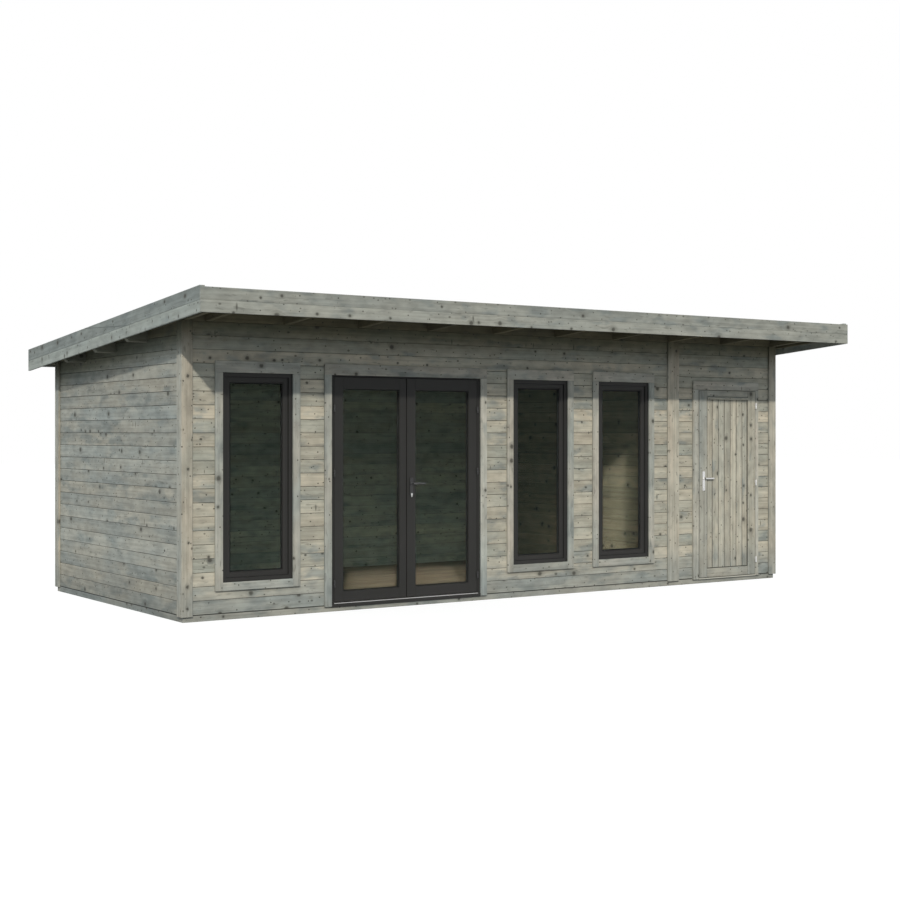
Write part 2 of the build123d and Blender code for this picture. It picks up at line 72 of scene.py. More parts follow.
bpy.ops.object.select_all(action="DESELECT")
bpy.ops.object.camera_add(location=camera_place, rotation=(math.pi / 2, 0, camera_heading))
camera = bpy.context.object
camera.data.sensor_width = sensor_width
camera.data.lens = sensor_width * focal_pixels / photo_size
camera.data.shift_y = (horizon_row - photo_size / 2) / photo_size
bpy.context.scene.camera = camera
bpy.context.scene.view_settings.view_transform = "Standard"
print("lens", round(camera.data.lens, 2), "mm, shift", round(camera.data.shift_y, 4))

# %% [markdown]
# ## Nodes in code
# A finish is a small tree of nodes. Wired one by one, they would fill pages, so one helper adds a node,
# sets its options and joins or sets its inputs. A finish then reads like a list of steps.


# %% Node helpers
def add_node(tree, kind, inputs=None, **options):
    made = tree.nodes.new("ShaderNode" + kind)
    for option, value in options.items():
        setattr(made, option, value)
    for socket, value in (inputs or {}).items():
        if isinstance(value, bpy.types.NodeSocket):
            tree.links.new(value, made.inputs[socket])
        else:
            made.inputs[socket].default_value = value
    return made


def arithmetic(tree, operation, first, second=0.0, clamp=False):
    made = add_node(tree, "Math", {0: first, 1: second}, operation=operation, use_clamp=clamp)
    return made.outputs[0]


def seen_directly(tree):
    """1 for what the camera sees, also in a mirror or through glass, and 0 for scattered light."""
    path = add_node(tree, "LightPath").outputs
    seen = arithmetic(tree, "ADD", path["Is Camera Ray"], path["Is Glossy Ray"])
    seen = arithmetic(tree, "ADD", seen, path["Is Transmission Ray"], clamp=True)
    return arithmetic(tree, "SUBTRACT", seen, path["Diffuse Depth"], clamp=True)


print("node helpers ready")

# %% [markdown]
# ## Floor
# The house stands on a plain pale floor. A floor lit until it is white would also light the house from
# below. So it is white only where it is seen directly, by a glow that lights nothing, and it keeps the
# shadow of the house.

# %% Floor
floor_size = 120
floor_colour = (0.2, 0.2, 0.2, 1)
floor_glow = 0.85
white = (1, 1, 1, 1)

bpy.ops.mesh.primitive_plane_add(size=floor_size)
floor = bpy.context.object
floor.name = "studio_floor"
floor_paint = bpy.data.materials.new("studio_floor")
floor_paint.use_nodes = True
tree = floor_paint.node_tree
shader = tree.nodes["Principled BSDF"]
shader.inputs["Base Color"].default_value = floor_colour
shader.inputs["Roughness"].default_value = 1
shader.inputs["Specular IOR Level"].default_value = 0
shader.inputs["Emission Color"].default_value = white
glow = arithmetic(tree, "MULTIPLY", seen_directly(tree), floor_glow)
tree.links.new(glow, shader.inputs["Emission Strength"])
floor.data.materials.append(floor_paint)
print("floor:", floor_size, "m wide")

# %% [markdown]
# ## Sky and sun
# A sun from the front left gives the shadow under the eaves and the patches of light behind the glass,
# and a cool sky fills the shade. A ring of lamps could do the same, but would give several shadows. The
# backdrop is white only where it is seen directly, and lights the house at the sky's lower level.

# %% Sky and sun
backdrop_level = 1.0
sky_colour = (0.84, 0.93, 1.0, 1)
sky_level = 0.81
sun_travel = Vector((0.50, 0.824, -0.60))
sun_colour = (1.0, 0.955, 0.87)
sun_level = 2.2
sun_spread = math.radians(1.5)

world = bpy.data.worlds.new("studio")
world.use_nodes = True
bpy.context.scene.world = world
tree = world.node_tree
sky = tree.nodes["Background"]
sky.inputs["Color"].default_value = sky_colour
sky.inputs["Strength"].default_value = sky_level
backdrop = add_node(tree, "Background", {"Color": white, "Strength": backdrop_level})
choice = add_node(tree, "MixShader", {0: seen_directly(tree)})
tree.links.new(sky.outputs[0], choice.inputs[1])
tree.links.new(backdrop.outputs[0], choice.inputs[2])
tree.links.new(choice.outputs[0], tree.nodes["World Output"].inputs["Surface"])

bpy.ops.object.light_add(type="SUN", rotation=sun_travel.to_track_quat("-Z", "Y").to_euler())
sun = bpy.context.object
sun.data.energy = sun_level
sun.data.color = sun_colour
sun.data.angle = sun_spread
print("sky", sky_level, "and sun", sun_level)

# %% [markdown]
# ## Reading the frame
# Some nodes of the frame hold several solids, such as all the rafters. Typing their places here would
# tie this lesson to one size of house, so this cell finds the box of each solid, by following its edges,
# and works out how steeply the roof falls towards the back.

# %% Read the frame
merge_distance = 1e-5
same_place = 1e-4


def solids_of(node):
    """Lowest and highest corner of every solid in a node, from left to right."""
    shape = bmesh.new()
    shape.from_mesh(frame["nodes"][node].data)
    bmesh.ops.remove_doubles(shape, verts=shape.verts, dist=merge_distance)
    waiting = set(shape.verts)
    boxes = []
    while waiting:
        growing = [waiting.pop()]
        found = []
        while growing:
            vertex = growing.pop()
            found.append(tuple(vertex.co))
            beside = [edge.other_vert(vertex) for edge in vertex.link_edges]
            growing += [other for other in beside if other in waiting]
            waiting.difference_update(beside)
        boxes.append((Vector(map(min, zip(*found))), Vector(map(max, zip(*found)))))
    shape.free()
    return sorted(boxes, key=lambda box: [round(value, 4) for value in (*box[0], *box[1])])


def top_at(node, y):
    """Height of a node's top where it meets a plane across the house."""
    points = frame["nodes"][node].data.vertices
    return max(point.co.z for point in points if abs(point.co.y - y) < same_place)


deck_low, deck_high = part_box("roof_deck")
deck_drop = top_at("roof_deck", deck_low.y) - top_at("roof_deck", deck_high.y)
roof_fall = deck_drop / (deck_high.y - deck_low.y)
wall_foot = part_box("rear_wall")[0].z
front_face, room_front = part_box("front_wall_top")[0].y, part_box("front_wall_top")[1].y
front_wall_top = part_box("front_wall_top")[1].z
print("roof falls", round(roof_fall * 1000, 1), "mm a metre; wall foot", round(wall_foot, 4))

# %% [markdown]
# ## Colours in nodes
# Every finish blends colours, eases from one level to another and starts from an empty material, so
# these steps are helpers too.


# %% Colour helpers
def mix_colour(tree, factor, first, second, blend="MIX"):
    made = add_node(tree, "Mix", data_type="RGBA", blend_type=blend)
    for socket, value in ((0, factor), (6, first), (7, second)):
        if isinstance(value, bpy.types.NodeSocket):
            tree.links.new(value, made.inputs[socket])
        else:
            made.inputs[socket].default_value = value
    return made.outputs[2]


def smooth_step(tree, value, start, end, low=0.0, high=1.0):
    inputs = {"Value": value, "From Min": start, "From Max": end, "To Min": low, "To Max": high}
    return add_node(tree, "MapRange", inputs, interpolation_type="SMOOTHSTEP").outputs[0]


def level_at(tree, mark, level):
    """1 where a mark is 0, and the given level where it is 1."""
    return smooth_step(tree, mark, 0.0, 1.0, low=1.0, high=level)


def attribute(tree, name):
    return add_node(tree, "Attribute", attribute_name=name).outputs["Fac"]


def blank_finish(name):
    made = bpy.data.materials.new(name)
    made.use_nodes = True
    return made, made.node_tree, made.node_tree.nodes["Principled BSDF"]


print("colour helpers ready")

# %% [markdown]
# ## The grain of a board
# Wood looks different along a board, across it and from one board to the next. A pattern in space would
# run on from board to board, so the timber finish reads a map that each board carries, called grain: u
# runs along the board in metres, and v runs round its section, with a whole number in front that is the
# board's own. So every board gets its own tone and knots, and the fibre follows the board whichever way
# it lies. Fibre grows round a branch, so the map can bend round a knot.

# %% Grain of a board
knot_chance = 0.15
knot_size_power = 1.5
number_steps = (5.3, 3.7)
ragged_scale = 9
fibre_bend = 0.8


class Grain:
    """The map of one board as node outputs: along it, across it, and its number."""

    def __init__(self, tree):
        self.tree = tree
        place = add_node(tree, "UVMap", uv_map="grain").outputs[0]
        split = add_node(tree, "SeparateXYZ", {0: place})
        self.along = split.outputs[0]
        self.number = arithmetic(tree, "FLOOR", split.outputs[1])
        self.across = arithmetic(tree, "FRACT", split.outputs[1])
        dice = add_node(tree, "TexWhiteNoise", {"W": self.number}, noise_dimensions="1D")
        self.dice = add_node(tree, "SeparateXYZ", {0: dice.outputs["Color"]}).outputs

    def place(self, along, across, slice_step):
        """The board's own place in a pattern that repeats so many times a metre."""
        tree = self.tree
        axes = {0: arithmetic(tree, "MULTIPLY", self.along, along),
                1: arithmetic(tree, "MULTIPLY", self.across, across),
                2: arithmetic(tree, "MULTIPLY", self.number, slice_step)}
        return add_node(tree, "CombineXYZ", axes).outputs[0]

    def bend_round(self, offset, across, near):
        """Makes the patterns that follow flow round a knot, as fibre does."""
        tree = self.tree
        shift = arithmetic(tree, "MULTIPLY", offset, near)
        shift = arithmetic(tree, "MULTIPLY", shift, -fibre_bend / across)
        self.across = arithmetic(tree, "ADD", self.across, shift)

    def noise(self, along, across, detail=3.0, slice_step=3.7):
        inputs = {"Vector": self.place(along, across, slice_step), "Scale": 1.0, "Detail": detail}
        return add_node(self.tree, "TexNoise", inputs).outputs[0]

    def knots(self, along, across, sizes, share, ragged):
        """Distance to the knot in each cell of a pattern, and its radius, or 0 where there is none."""
        tree = self.tree
        steps = {axis: arithmetic(tree, "MULTIPLY", self.number, step)
                 for axis, step in enumerate(number_steps)}
        start = add_node(tree, "CombineXYZ", steps).outputs[0]
        here = add_node(tree, "VectorMath", {0: self.place(along, across, 0.0), 1: start},
                        operation="ADD").outputs[0]
        cells = add_node(tree, "TexVoronoi", {"Vector": here, "Scale": 1.0}, voronoi_dimensions="2D").outputs
        offset = add_node(tree, "VectorMath", {0: here, 1: cells["Position"]}, operation="SUBTRACT")
        self.offset = add_node(tree, "SeparateXYZ", {0: offset.outputs[0]}).outputs
        rough_edge = self.noise(along * ragged_scale, across * ragged_scale)
        wobble = arithmetic(tree, "MULTIPLY", rough_edge, ragged)
        distance = arithmetic(tree, "SUBTRACT", cells["Distance"], wobble)
        dice = add_node(tree, "SeparateXYZ", {0: cells["Color"]}).outputs
        chance = arithmetic(tree, "POWER", dice[0], knot_size_power)
        radius = smooth_step(tree, chance, 0, 1, *sizes)
        present = arithmetic(tree, "LESS_THAN", dice[1], share * knot_chance)
        return distance, arithmetic(tree, "MULTIPLY", radius, present)


print("grain: knots in", knot_chance, "of the cells")

# %% [markdown]
# ## Knots
# A knot is the foot of a branch. A large one is a dark heart in a smudge, with a tail along the board.
# Pin knots are small and round, and spike knots were sawn along the branch. Painted dots would have
# clean rims, so each knot is measured from a ragged distance, and the fibre then bends round it.

# %% Knots
knot_columns = 8.2
knot_sizes = (0.04, 0.14)
pin_sizes = (0.07, 0.12)
spike_sizes = (0.05, 0.13)
pin_share = 0.6
spike_share = 1 / 6
tail_taper = 0.2
least_room = 0.0001


def within(tree, distance, radius, inner, outer):
    """1 nearer than inner times the radius, 0 beyond outer times the radius."""
    start = arithmetic(tree, "MULTIPLY", radius, outer)
    end = arithmetic(tree, "MULTIPLY", radius, inner)
    spread = arithmetic(tree, "SUBTRACT", start, distance)
    room = arithmetic(tree, "MAXIMUM", arithmetic(tree, "SUBTRACT", start, end), least_room)
    return arithmetic(tree, "DIVIDE", spread, room, clamp=True)


def large_knots(grain, rows, share, plain):
    """The smudge, the heart and the tail of each large knot."""
    tree = grain.tree
    distance, radius = grain.knots(rows, knot_columns, knot_sizes, share, ragged=0.09)
    radius = arithmetic(tree, "MULTIPLY", radius, plain)
    smudge = within(tree, distance, radius, inner=0.8, outer=3.0)
    heart = within(tree, distance, radius, inner=0.35, outer=1.1)
    beside = arithmetic(tree, "ABSOLUTE", grain.offset[1])
    ahead = arithmetic(tree, "MULTIPLY", arithmetic(tree, "ABSOLUTE", grain.offset[0]), tail_taper)
    tail = within(tree, arithmetic(tree, "ADD", beside, ahead), radius, inner=0.2, outer=1.1)
    near = within(tree, distance, radius, inner=0.6, outer=3.5)
    grain.bend_round(grain.offset[1], knot_columns, near)
    return smudge, heart, tail


def small_knots(grain, share, plain):
    """Pin knots and spike knots."""
    tree = grain.tree
    pins = grain.knots(9.0, 13.0, pin_sizes, share * pin_share, ragged=0.03)
    spikes = grain.knots(15.0, 4.2, spike_sizes, share * spike_share, ragged=0.05)
    dark = arithmetic(tree, "MAXIMUM", within(tree, *pins, inner=0.5, outer=1.1),
                      within(tree, *spikes, inner=0.3, outer=1.2))
    return arithmetic(tree, "MULTIPLY", dark, plain)


print("knots of", knot_sizes, "in a cell, pin knots of", pin_sizes)

# %% [markdown]
# ## Weather and painted shade on the walls
# Near the ground the wood is damp and darker. The joints of the planks are painted darker, as shade
# in the joints with some dirt, and a dark line along the foot of the walls is painted shade under the
# lowest plank, with some damp. Close under the roof, where no rain reaches, the wood stays brown, and it
# is also painted darker there, as painted shade under the eaves. Paint by hand would have to be redone
# for every board, so these zones are measured from the ground and the roof.

# %% Weather on the walls
damp_zone = (0.12, 0.45)
# Painted shade under the eaves reaches this far below the roof, and further on the shaded sides.
eave_shade_depth = 0.24
side_eave_shade = 0.09
# Painted shade: half the height of the dark line along the foot of the walls, under the lowest plank.
foot_shade_half = 0.006
eave_zone = (0.15, 0.5)
eave_joint = 0.3


def depth_under_roof(tree, place):
    """How far a point of a wall lies below the line where the walls meet the roof."""
    fallen = arithmetic(tree, "MULTIPLY", arithmetic(tree, "SUBTRACT", place[1], front_face), roof_fall)
    return arithmetic(tree, "SUBTRACT", front_wall_top, arithmetic(tree, "ADD", place[2], fallen))


def joint_shade_and_dirt(tree, height, under_roof, foot_shade_line, plain):
    """Painted shade and dirt in the joints, weaker under the eaves, and painted shade along the foot of the
    walls.
    """
    # Painted shade: the joints are darkened less close under the roof, where the wall is already in shade.
    joint_fade_under_eaves = smooth_step(tree, under_roof, *eave_zone, low=eave_joint)
    joint = arithmetic(tree, "MULTIPLY", attribute(tree, "joint"), joint_fade_under_eaves)
    # Painted shade along the foot of the walls, under the lowest plank, with some damp.
    foot = arithmetic(tree, "ABSOLUTE", arithmetic(tree, "SUBTRACT", height, wall_foot))
    foot = smooth_step(tree, foot, foot_shade_half / 2, foot_shade_half, low=foot_shade_line, high=0.0)
    return arithmetic(tree, "MULTIPLY", arithmetic(tree, "MAXIMUM", joint, foot), plain)


print("damp up to", damp_zone[1], "m, sheltered", eave_shade_depth, "m under the roof")

# %% [markdown]
# ## Colour of a board
# All the wood is softwood that was treated and has greyed: warm and grey-green boards, cooler on the
# sides that get no sun, with blue-grey stains. One colour with noise on it would look like stone, so
# each board throws dice for its own tone and for how much stain it took.

# %% Colour of a board
cool_light = (0.435, 0.418, 0.355, 1)
cool_dark = (0.282, 0.315, 0.31, 1)
dice_share = 0.14
stain_edge = 0.18
stain_strength = 0.7


def board_colour(grain, cooled, warm, grey, blue, warmth, stain_start):
    """Warm and grey wood in patches, cooler where it is shaded, with blue-grey stains."""
    tree = grain.tree
    patches = smooth_step(tree, grain.noise(1.5, 4.0, detail=5.0), 0.36, 0.64)
    tone = arithmetic(tree, "MULTIPLY", arithmetic(tree, "ADD", patches, grain.dice[0]), 0.5)
    tone = arithmetic(tree, "ADD", tone, warmth, clamp=True)
    colour = mix_colour(tree, tone, (*grey, 1), (*warm, 1))
    colour = mix_colour(tree, cooled, colour, mix_colour(tree, tone, cool_dark, cool_light))
    stain = arithmetic(tree, "ADD", grain.noise(3.6, 9.0, detail=7.0, slice_step=7.9),
                       arithmetic(tree, "MULTIPLY", grain.dice[1], dice_share))
    stained = smooth_step(tree, stain, stain_start, stain_start + stain_edge, high=stain_strength)
    return mix_colour(tree, stained, colour, (*blue, 1))


print("board colours: stains up to", stain_strength)

# %% [markdown]
# ## Weathered timber
# This finish puts the wood together: colour, year rings, fibre, dirt and painted shade in the joints,
# painted shade under the eaves, smudges and knots. Faces that look into the room are calmer, as they
# never get wet, and are painted lighter, as painted light in the room. One pattern serves all the timber,
# with a set of tones for each use, so that walls, trim, fascias and floor are clearly the same wood.

# %% Weathered timber
# Painted shade under the eaves darkens the wood towards this olive brown.
eave_shade_colour = (0.38, 0.385, 0.31, 1)
smudge_colour = (0.13, 0.13, 0.112, 1)
knot_colour = (0.05, 0.046, 0.037, 1)
# Painted shade and dirt: how dark the downward chamfers of the joints are made.
joint_shade_level = 0.18
# Painted light: faces that look into the room are made this much lighter.
indoor_painted_light = 1.12
damp_level = 0.88
inner_knots = 0.5
smudge_strength = 0.4
tail_strength = 0.45
knot_strength = 0.75
small_knot_strength = 0.85
bump_depth = 0.0012


def weathered_timber(name, warm, grey, blue, warmth, stain_start, knot_share=0.95, cooling=0.8,
                     eave_shaded=0.0, foot_shade_line=0.0, knot_rows=7.0):
    made, tree, shader = blank_finish(name)
    grain = Grain(tree)
    shaded, inner = attribute(tree, "shaded"), attribute(tree, "inner")
    plain = level_at(tree, inner, inner_knots)
    place = add_node(tree, "SeparateXYZ", {0: add_node(tree, "TexCoord").outputs["Object"]}).outputs
    damp = smooth_step(tree, place[2], *damp_zone, low=1.0, high=0.0)
    under_roof = depth_under_roof(tree, place)
    joint = joint_shade_and_dirt(tree, place[2], under_roof, foot_shade_line, plain)
    halo, heart, tail = large_knots(grain, knot_rows, knot_share, plain)
    cooled = arithmetic(tree, "MULTIPLY", arithmetic(tree, "MAXIMUM", shaded, damp), cooling)
    colour = board_colour(grain, cooled, warm, grey, blue, warmth, stain_start)

    rings = grain.noise(0.9, 42.0, detail=2.0, slice_step=2.3)
    mottle = grain.noise(7.0, 14.0, detail=5.0, slice_step=4.1)
    fibre = grain.noise(8.0, 330.0, detail=3.0, slice_step=1.9)
    level = arithmetic(tree, "ADD", smooth_step(tree, rings, 0.35, 0.65, low=-0.11, high=0.06),
                       smooth_step(tree, fibre, 0.3, 0.7, low=0.93, high=1.05))
    level = arithmetic(tree, "ADD", level, smooth_step(tree, mottle, 0.3, 0.7, low=-0.12, high=0.12))
    level = arithmetic(tree, "MULTIPLY", level, smooth_step(tree, grain.dice[2], 0, 1, low=0.9, high=1.08))
    # Painted shade in the joints, painted light on faces looking into the room, and damp near the ground.
    for mark, marked_level in ((joint, joint_shade_level), (inner, indoor_painted_light), (damp, damp_level)):
        level = arithmetic(tree, "MULTIPLY", level, level_at(tree, mark, marked_level))
    shade = add_node(tree, "CombineXYZ", {0: level, 1: level, 2: level}).outputs[0]
    colour = mix_colour(tree, 1.0, colour, shade, "MULTIPLY")
    # Painted shade: close under the roof the wood is darkened towards an olive brown, deeper on the sides.
    sunk = arithmetic(tree, "SUBTRACT", under_roof, arithmetic(tree, "MULTIPLY", shaded, side_eave_shade))
    eave_shade = smooth_step(tree, sunk, 0.0, eave_shade_depth, low=eave_shaded, high=0.0)
    colour = mix_colour(tree, eave_shade, colour, eave_shade_colour, "MULTIPLY")

    smudge = smooth_step(tree, grain.noise(9.0, 40.0, detail=3.0, slice_step=6.3), 0.61, 0.74, high=0.5)
    for mark, strength in ((halo, smudge_strength), (tail, tail_strength)):
        smudge = arithmetic(tree, "MAXIMUM", smudge, arithmetic(tree, "MULTIPLY", mark, strength))
    colour = mix_colour(tree, smudge, colour, smudge_colour)
    small = arithmetic(tree, "MULTIPLY", small_knots(grain, knot_share, plain), small_knot_strength)
    dark = arithmetic(tree, "MAXIMUM", heart, small)
    colour = mix_colour(tree, arithmetic(tree, "MULTIPLY", dark, knot_strength), colour, knot_colour)
    tree.links.new(colour, shader.inputs["Base Color"])

    roughness = smooth_step(tree, fibre, 0.2, 0.8, low=0.72, high=0.9)
    tree.links.new(roughness, shader.inputs["Roughness"])
    height = arithmetic(tree, "ADD", arithmetic(tree, "MULTIPLY", fibre, 0.5), rings)
    height = arithmetic(tree, "SUBTRACT", height, arithmetic(tree, "MULTIPLY", dark, 0.4))
    bump = add_node(tree, "Bump", {"Strength": 0.35, "Distance": bump_depth, "Height": height})
    tree.links.new(bump.outputs[0], shader.inputs["Normal"])
    shader.inputs["Specular IOR Level"].default_value = 0.2
    return made


print("timber pattern ready")

# %% [markdown]
# ## Tones of the timber
# Each use of the wood has weathered in its own way. The front is warm, the fascias above it are greyer
# and full of knots, the base is splashed by rain, and timber under the roof and indoors is brown. The
# rafters, blocks and roof boards under the roof are also much darker, as painted shade under the eaves.
# Only the tones and the number of knots differ, so they are all that is set here.

# %% Tones of the timber
blue_tone = (0.24, 0.265, 0.252)
wall_timber = weathered_timber("wall_timber", (0.5, 0.448, 0.352), (0.38, 0.387, 0.33), blue_tone,
                               warmth=0.06, stain_start=0.58, eave_shaded=1.0, foot_shade_line=1.0)
cover_timber = weathered_timber("cover_timber", (0.49, 0.445, 0.37), (0.38, 0.4, 0.365), blue_tone,
                                warmth=0.06, stain_start=0.62, eave_shaded=1.0)
corner_timber = weathered_timber("corner_timber", (0.48, 0.423, 0.335), (0.37, 0.374, 0.32), blue_tone,
                                 warmth=0.12, stain_start=0.64, eave_shaded=1.0)
door_timber = weathered_timber("door_timber", (0.49, 0.443, 0.352), (0.39, 0.392, 0.338), blue_tone,
                               warmth=0.18, stain_start=0.64, eave_shaded=1.0)
base_timber = weathered_timber("base_timber", (0.4, 0.395, 0.35), (0.32, 0.33, 0.3), blue_tone,
                               warmth=0.0, stain_start=0.6, foot_shade_line=1.0)
roof_timber = weathered_timber("roof_timber", (0.335, 0.33, 0.285), (0.275, 0.285, 0.257),
                               (0.2, 0.22, 0.21), warmth=0.2, stain_start=0.6, knot_share=1.6)
upper_fascia_timber = weathered_timber("upper_fascia_timber", (0.298, 0.32, 0.298), (0.258, 0.286, 0.275),
                                       (0.2, 0.225, 0.222), warmth=0.0, stain_start=0.6, knot_share=1.6,
                                       cooling=0.0)
lower_fascia_timber = weathered_timber("lower_fascia_timber", (0.41, 0.43, 0.385), (0.36, 0.39, 0.365),
                                       (0.25, 0.28, 0.275), warmth=0.1, stain_start=0.64, knot_share=3.0,
                                       cooling=0.0, knot_rows=13.0)
# Rafters, blocks and roof boards: brown wood, made much darker as painted shade under the eaves.
brown_and_shade_timber = weathered_timber("brown_and_shade_timber", (0.21, 0.188, 0.12), (0.155, 0.146, 0.1),
                                    (0.13, 0.122, 0.088), warmth=0.1, stain_start=0.66, knot_share=0.6,
                                    cooling=0.0)
purlin_timber = weathered_timber("purlin_timber", (0.26, 0.255, 0.2), (0.2, 0.205, 0.165),
                                 (0.16, 0.17, 0.15), warmth=0.1, stain_start=0.66, knot_share=0.6,
                                 cooling=0.0)
inner_timber = weathered_timber("inner_timber", (0.3, 0.242, 0.175), (0.245, 0.207, 0.152),
                                (0.19, 0.17, 0.13), warmth=0.2, stain_start=0.64, knot_share=1.2,
                                cooling=0.0)
floor_timber = weathered_timber("floor_timber", (0.3, 0.213, 0.152), (0.215, 0.155, 0.117),
                                (0.19, 0.15, 0.115), warmth=0.1, stain_start=0.6, knot_share=0.6,
                                cooling=0.0)
print("timber finishes:", wall_timber.name, cover_timber.name, roof_timber.name, floor_timber.name)

# %% [markdown]
# ## Paint, metal and rubber
# The windows and the double door are painted anthracite, which is nearly black and slightly uneven, as
# sprayed paint is. The store door has satin steel fittings, the double door has dark ones, and its
# threshold is drawn aluminium. The lever grips of the double door are a lighter grey copy of its dark
# metal, a painted sheen of the sun on them. A single colour would look like plastic, so each finish
# varies a little in colour and roughness. Drawn metal varies along its length, which a stretched pattern
# gives.


# %% Paint, metal and rubber
def object_noise(tree, scale, stretch=(1, 1, 1), detail=3.0):
    place = add_node(tree, "TexCoord").outputs["Object"]
    place = add_node(tree, "Mapping", {"Vector": place, "Scale": stretch}).outputs[0]
    inputs = {"Vector": place, "Scale": scale, "Detail": detail}
    return add_node(tree, "TexNoise", inputs).outputs[0]


def uneven_finish(name, dark, light, rough, metallic, scale, stretch, relief, specular=0.5):
    """A hard finish whose colour and roughness vary a little, with a fine relief."""
    made, tree, shader = blank_finish(name)
    clouds = object_noise(tree, 2.5)
    fine = object_noise(tree, scale, stretch)
    mixed = arithmetic(tree, "MULTIPLY", clouds, 0.6)
    mixed = arithmetic(tree, "ADD", mixed, arithmetic(tree, "MULTIPLY", fine, 0.4))
    colour = mix_colour(tree, smooth_step(tree, mixed, 0.3, 0.7), (*dark, 1), (*light, 1))
    tree.links.new(colour, shader.inputs["Base Color"])
    tree.links.new(smooth_step(tree, fine, 0.3, 0.7, *rough), shader.inputs["Roughness"])
    bump = add_node(tree, "Bump", {"Strength": 0.2, "Distance": relief, "Height": fine})
    tree.links.new(bump.outputs[0], shader.inputs["Normal"])
    shader.inputs["Metallic"].default_value = metallic
    shader.inputs["Specular IOR Level"].default_value = specular
    return made


even = (1, 1, 1)
drawn = (0.02, 1, 1)
anthracite = uneven_finish("anthracite", (0.0255, 0.025, 0.0235), (0.031, 0.03, 0.0285),
                           (0.42, 0.55), 0.0, 700, even, 0.0003, 0.18)
dark_metal = uneven_finish("dark_metal", (0.016, 0.016, 0.017), (0.024, 0.024, 0.025),
                           (0.32, 0.45), 0.0, 900, even, 0.0002, 0.5)
# Lever grips: the dark metal painted lighter grey, a painted sheen.
sheen_grey_metal = uneven_finish("sheen_grey_metal", (0.07, 0.07, 0.072), (0.1, 0.1, 0.102),
                           (0.3, 0.42), 0.0, 900, even, 0.0002, 0.5)
strip_metal = uneven_finish("strip_metal", (0.42, 0.41, 0.35), (0.5, 0.49, 0.42),
                            (0.4, 0.55), 0.6, 1500, drawn, 0.0002)
bright_metal = uneven_finish("bright_metal", (0.62, 0.62, 0.61), (0.74, 0.74, 0.73),
                             (0.24, 0.36), 1.0, 900, even, 0.0001)
threshold_metal = uneven_finish("threshold_metal", (0.6, 0.6, 0.59), (0.74, 0.74, 0.73),
                                (0.3, 0.45), 1.0, 1500, drawn, 0.0002)
rubber = uneven_finish("rubber", (0.011, 0.011, 0.011), (0.018, 0.018, 0.018),
                       (0.6, 0.75), 0.0, 500, even, 0.0003, 0.3)
print("hard finishes:", anthracite.name, dark_metal.name, bright_metal.name, rubber.name)

# %% [markdown]
# ## Glass and felt
# The glass is clear and faintly green, with a coat that keeps its reflection low. Its reflection is
# tinted green, a painted reflection of green surroundings. Plain glass would mirror the white backdrop
# and hide the room, so it bends light only a little. The roof is covered with mineral felt: bitumen
# with stone granules, streaked by water down the slope.


# %% Glass and felt
def glass_finish():
    made, tree, shader = blank_finish("glass")
    waves = object_noise(tree, 1.5)
    colour = mix_colour(tree, waves, (0.87, 0.92, 0.89, 1), (0.91, 0.96, 0.93, 1))
    tree.links.new(colour, shader.inputs["Base Color"])
    shader.inputs["Roughness"].default_value = 0.0
    shader.inputs["Transmission Weight"].default_value = 1.0
    shader.inputs["IOR"].default_value = 1.12
    # Painted reflection: the green tint of the reflection stands in for green surroundings.
    shader.inputs["Specular Tint"].default_value = (0.78, 1.0, 0.86, 1)
    return made


def felt_finish():
    made, tree, shader = blank_finish("roof_felt")
    streaks = object_noise(tree, 1.0, (3.0, 0.35, 1.0), 4.0)
    granules = object_noise(tree, 420.0, detail=1.0)
    clouds = object_noise(tree, 0.9)
    tone = arithmetic(tree, "ADD", smooth_step(tree, streaks, 0.3, 0.75, high=0.4),
                      smooth_step(tree, clouds, 0.3, 0.7, high=0.3))
    tone = arithmetic(tree, "ADD", tone, smooth_step(tree, granules, 0.4, 0.65, high=0.3), clamp=True)
    colour = mix_colour(tree, tone, (0.055, 0.058, 0.06, 1), (0.17, 0.172, 0.165, 1))
    tree.links.new(colour, shader.inputs["Base Color"])
    bump = add_node(tree, "Bump", {"Strength": 0.6, "Distance": 0.0015, "Height": granules})
    tree.links.new(bump.outputs[0], shader.inputs["Normal"])
    shader.inputs["Roughness"].default_value = 0.92
    shader.inputs["Specular IOR Level"].default_value = 0.25
    return made


glass = glass_finish()
roof_felt = felt_finish()
print("more finishes:", glass.name, roof_felt.name)

# %% [markdown]
# ## Working on one piece
# Operators act on whatever is selected, so these helpers put one piece alone in the selection and pick
# its faces, edges or corners in edit mode by a test. A test by place or direction still holds when the
# frame's sizes change, which picking by number would not.

# %% Selecting
flat_face = 0.99


def alone(*pieces):
    bpy.ops.object.select_all(action="DESELECT")
    for piece in pieces:
        piece.select_set(True)
    bpy.context.view_layer.objects.active = pieces[0]


def edit_mode():
    bpy.ops.object.mode_set(mode="EDIT")


def object_mode():
    bpy.ops.object.mode_set(mode="OBJECT")


def select_whole():
    bpy.ops.mesh.select_all(action="SELECT")


def pick(kind, wanted):
    """In edit mode, selects only the corners, edges or faces that a test picks."""
    mesh = bpy.context.object.data
    bpy.ops.mesh.select_mode(type=kind)
    bpy.ops.mesh.select_all(action="DESELECT")
    shape = bmesh.from_edit_mesh(mesh)
    for part in {"VERT": shape.verts, "EDGE": shape.edges, "FACE": shape.faces}[kind]:
        if wanted(part):
            part.select_set(True)
    shape.select_flush_mode()
    bmesh.update_edit_mesh(mesh)


def runs_along(edge, axis):
    return abs((edge.verts[1].co - edge.verts[0].co).normalized()[axis]) > flat_face


print("selecting ready")

# %% [markdown]
# ## Shaping a piece
# A joiner planes an edge, cuts a slope or drills a hole. These helpers do the same: they bevel edges,
# move corners, push faces out, cut with a second piece, and join pieces into one.

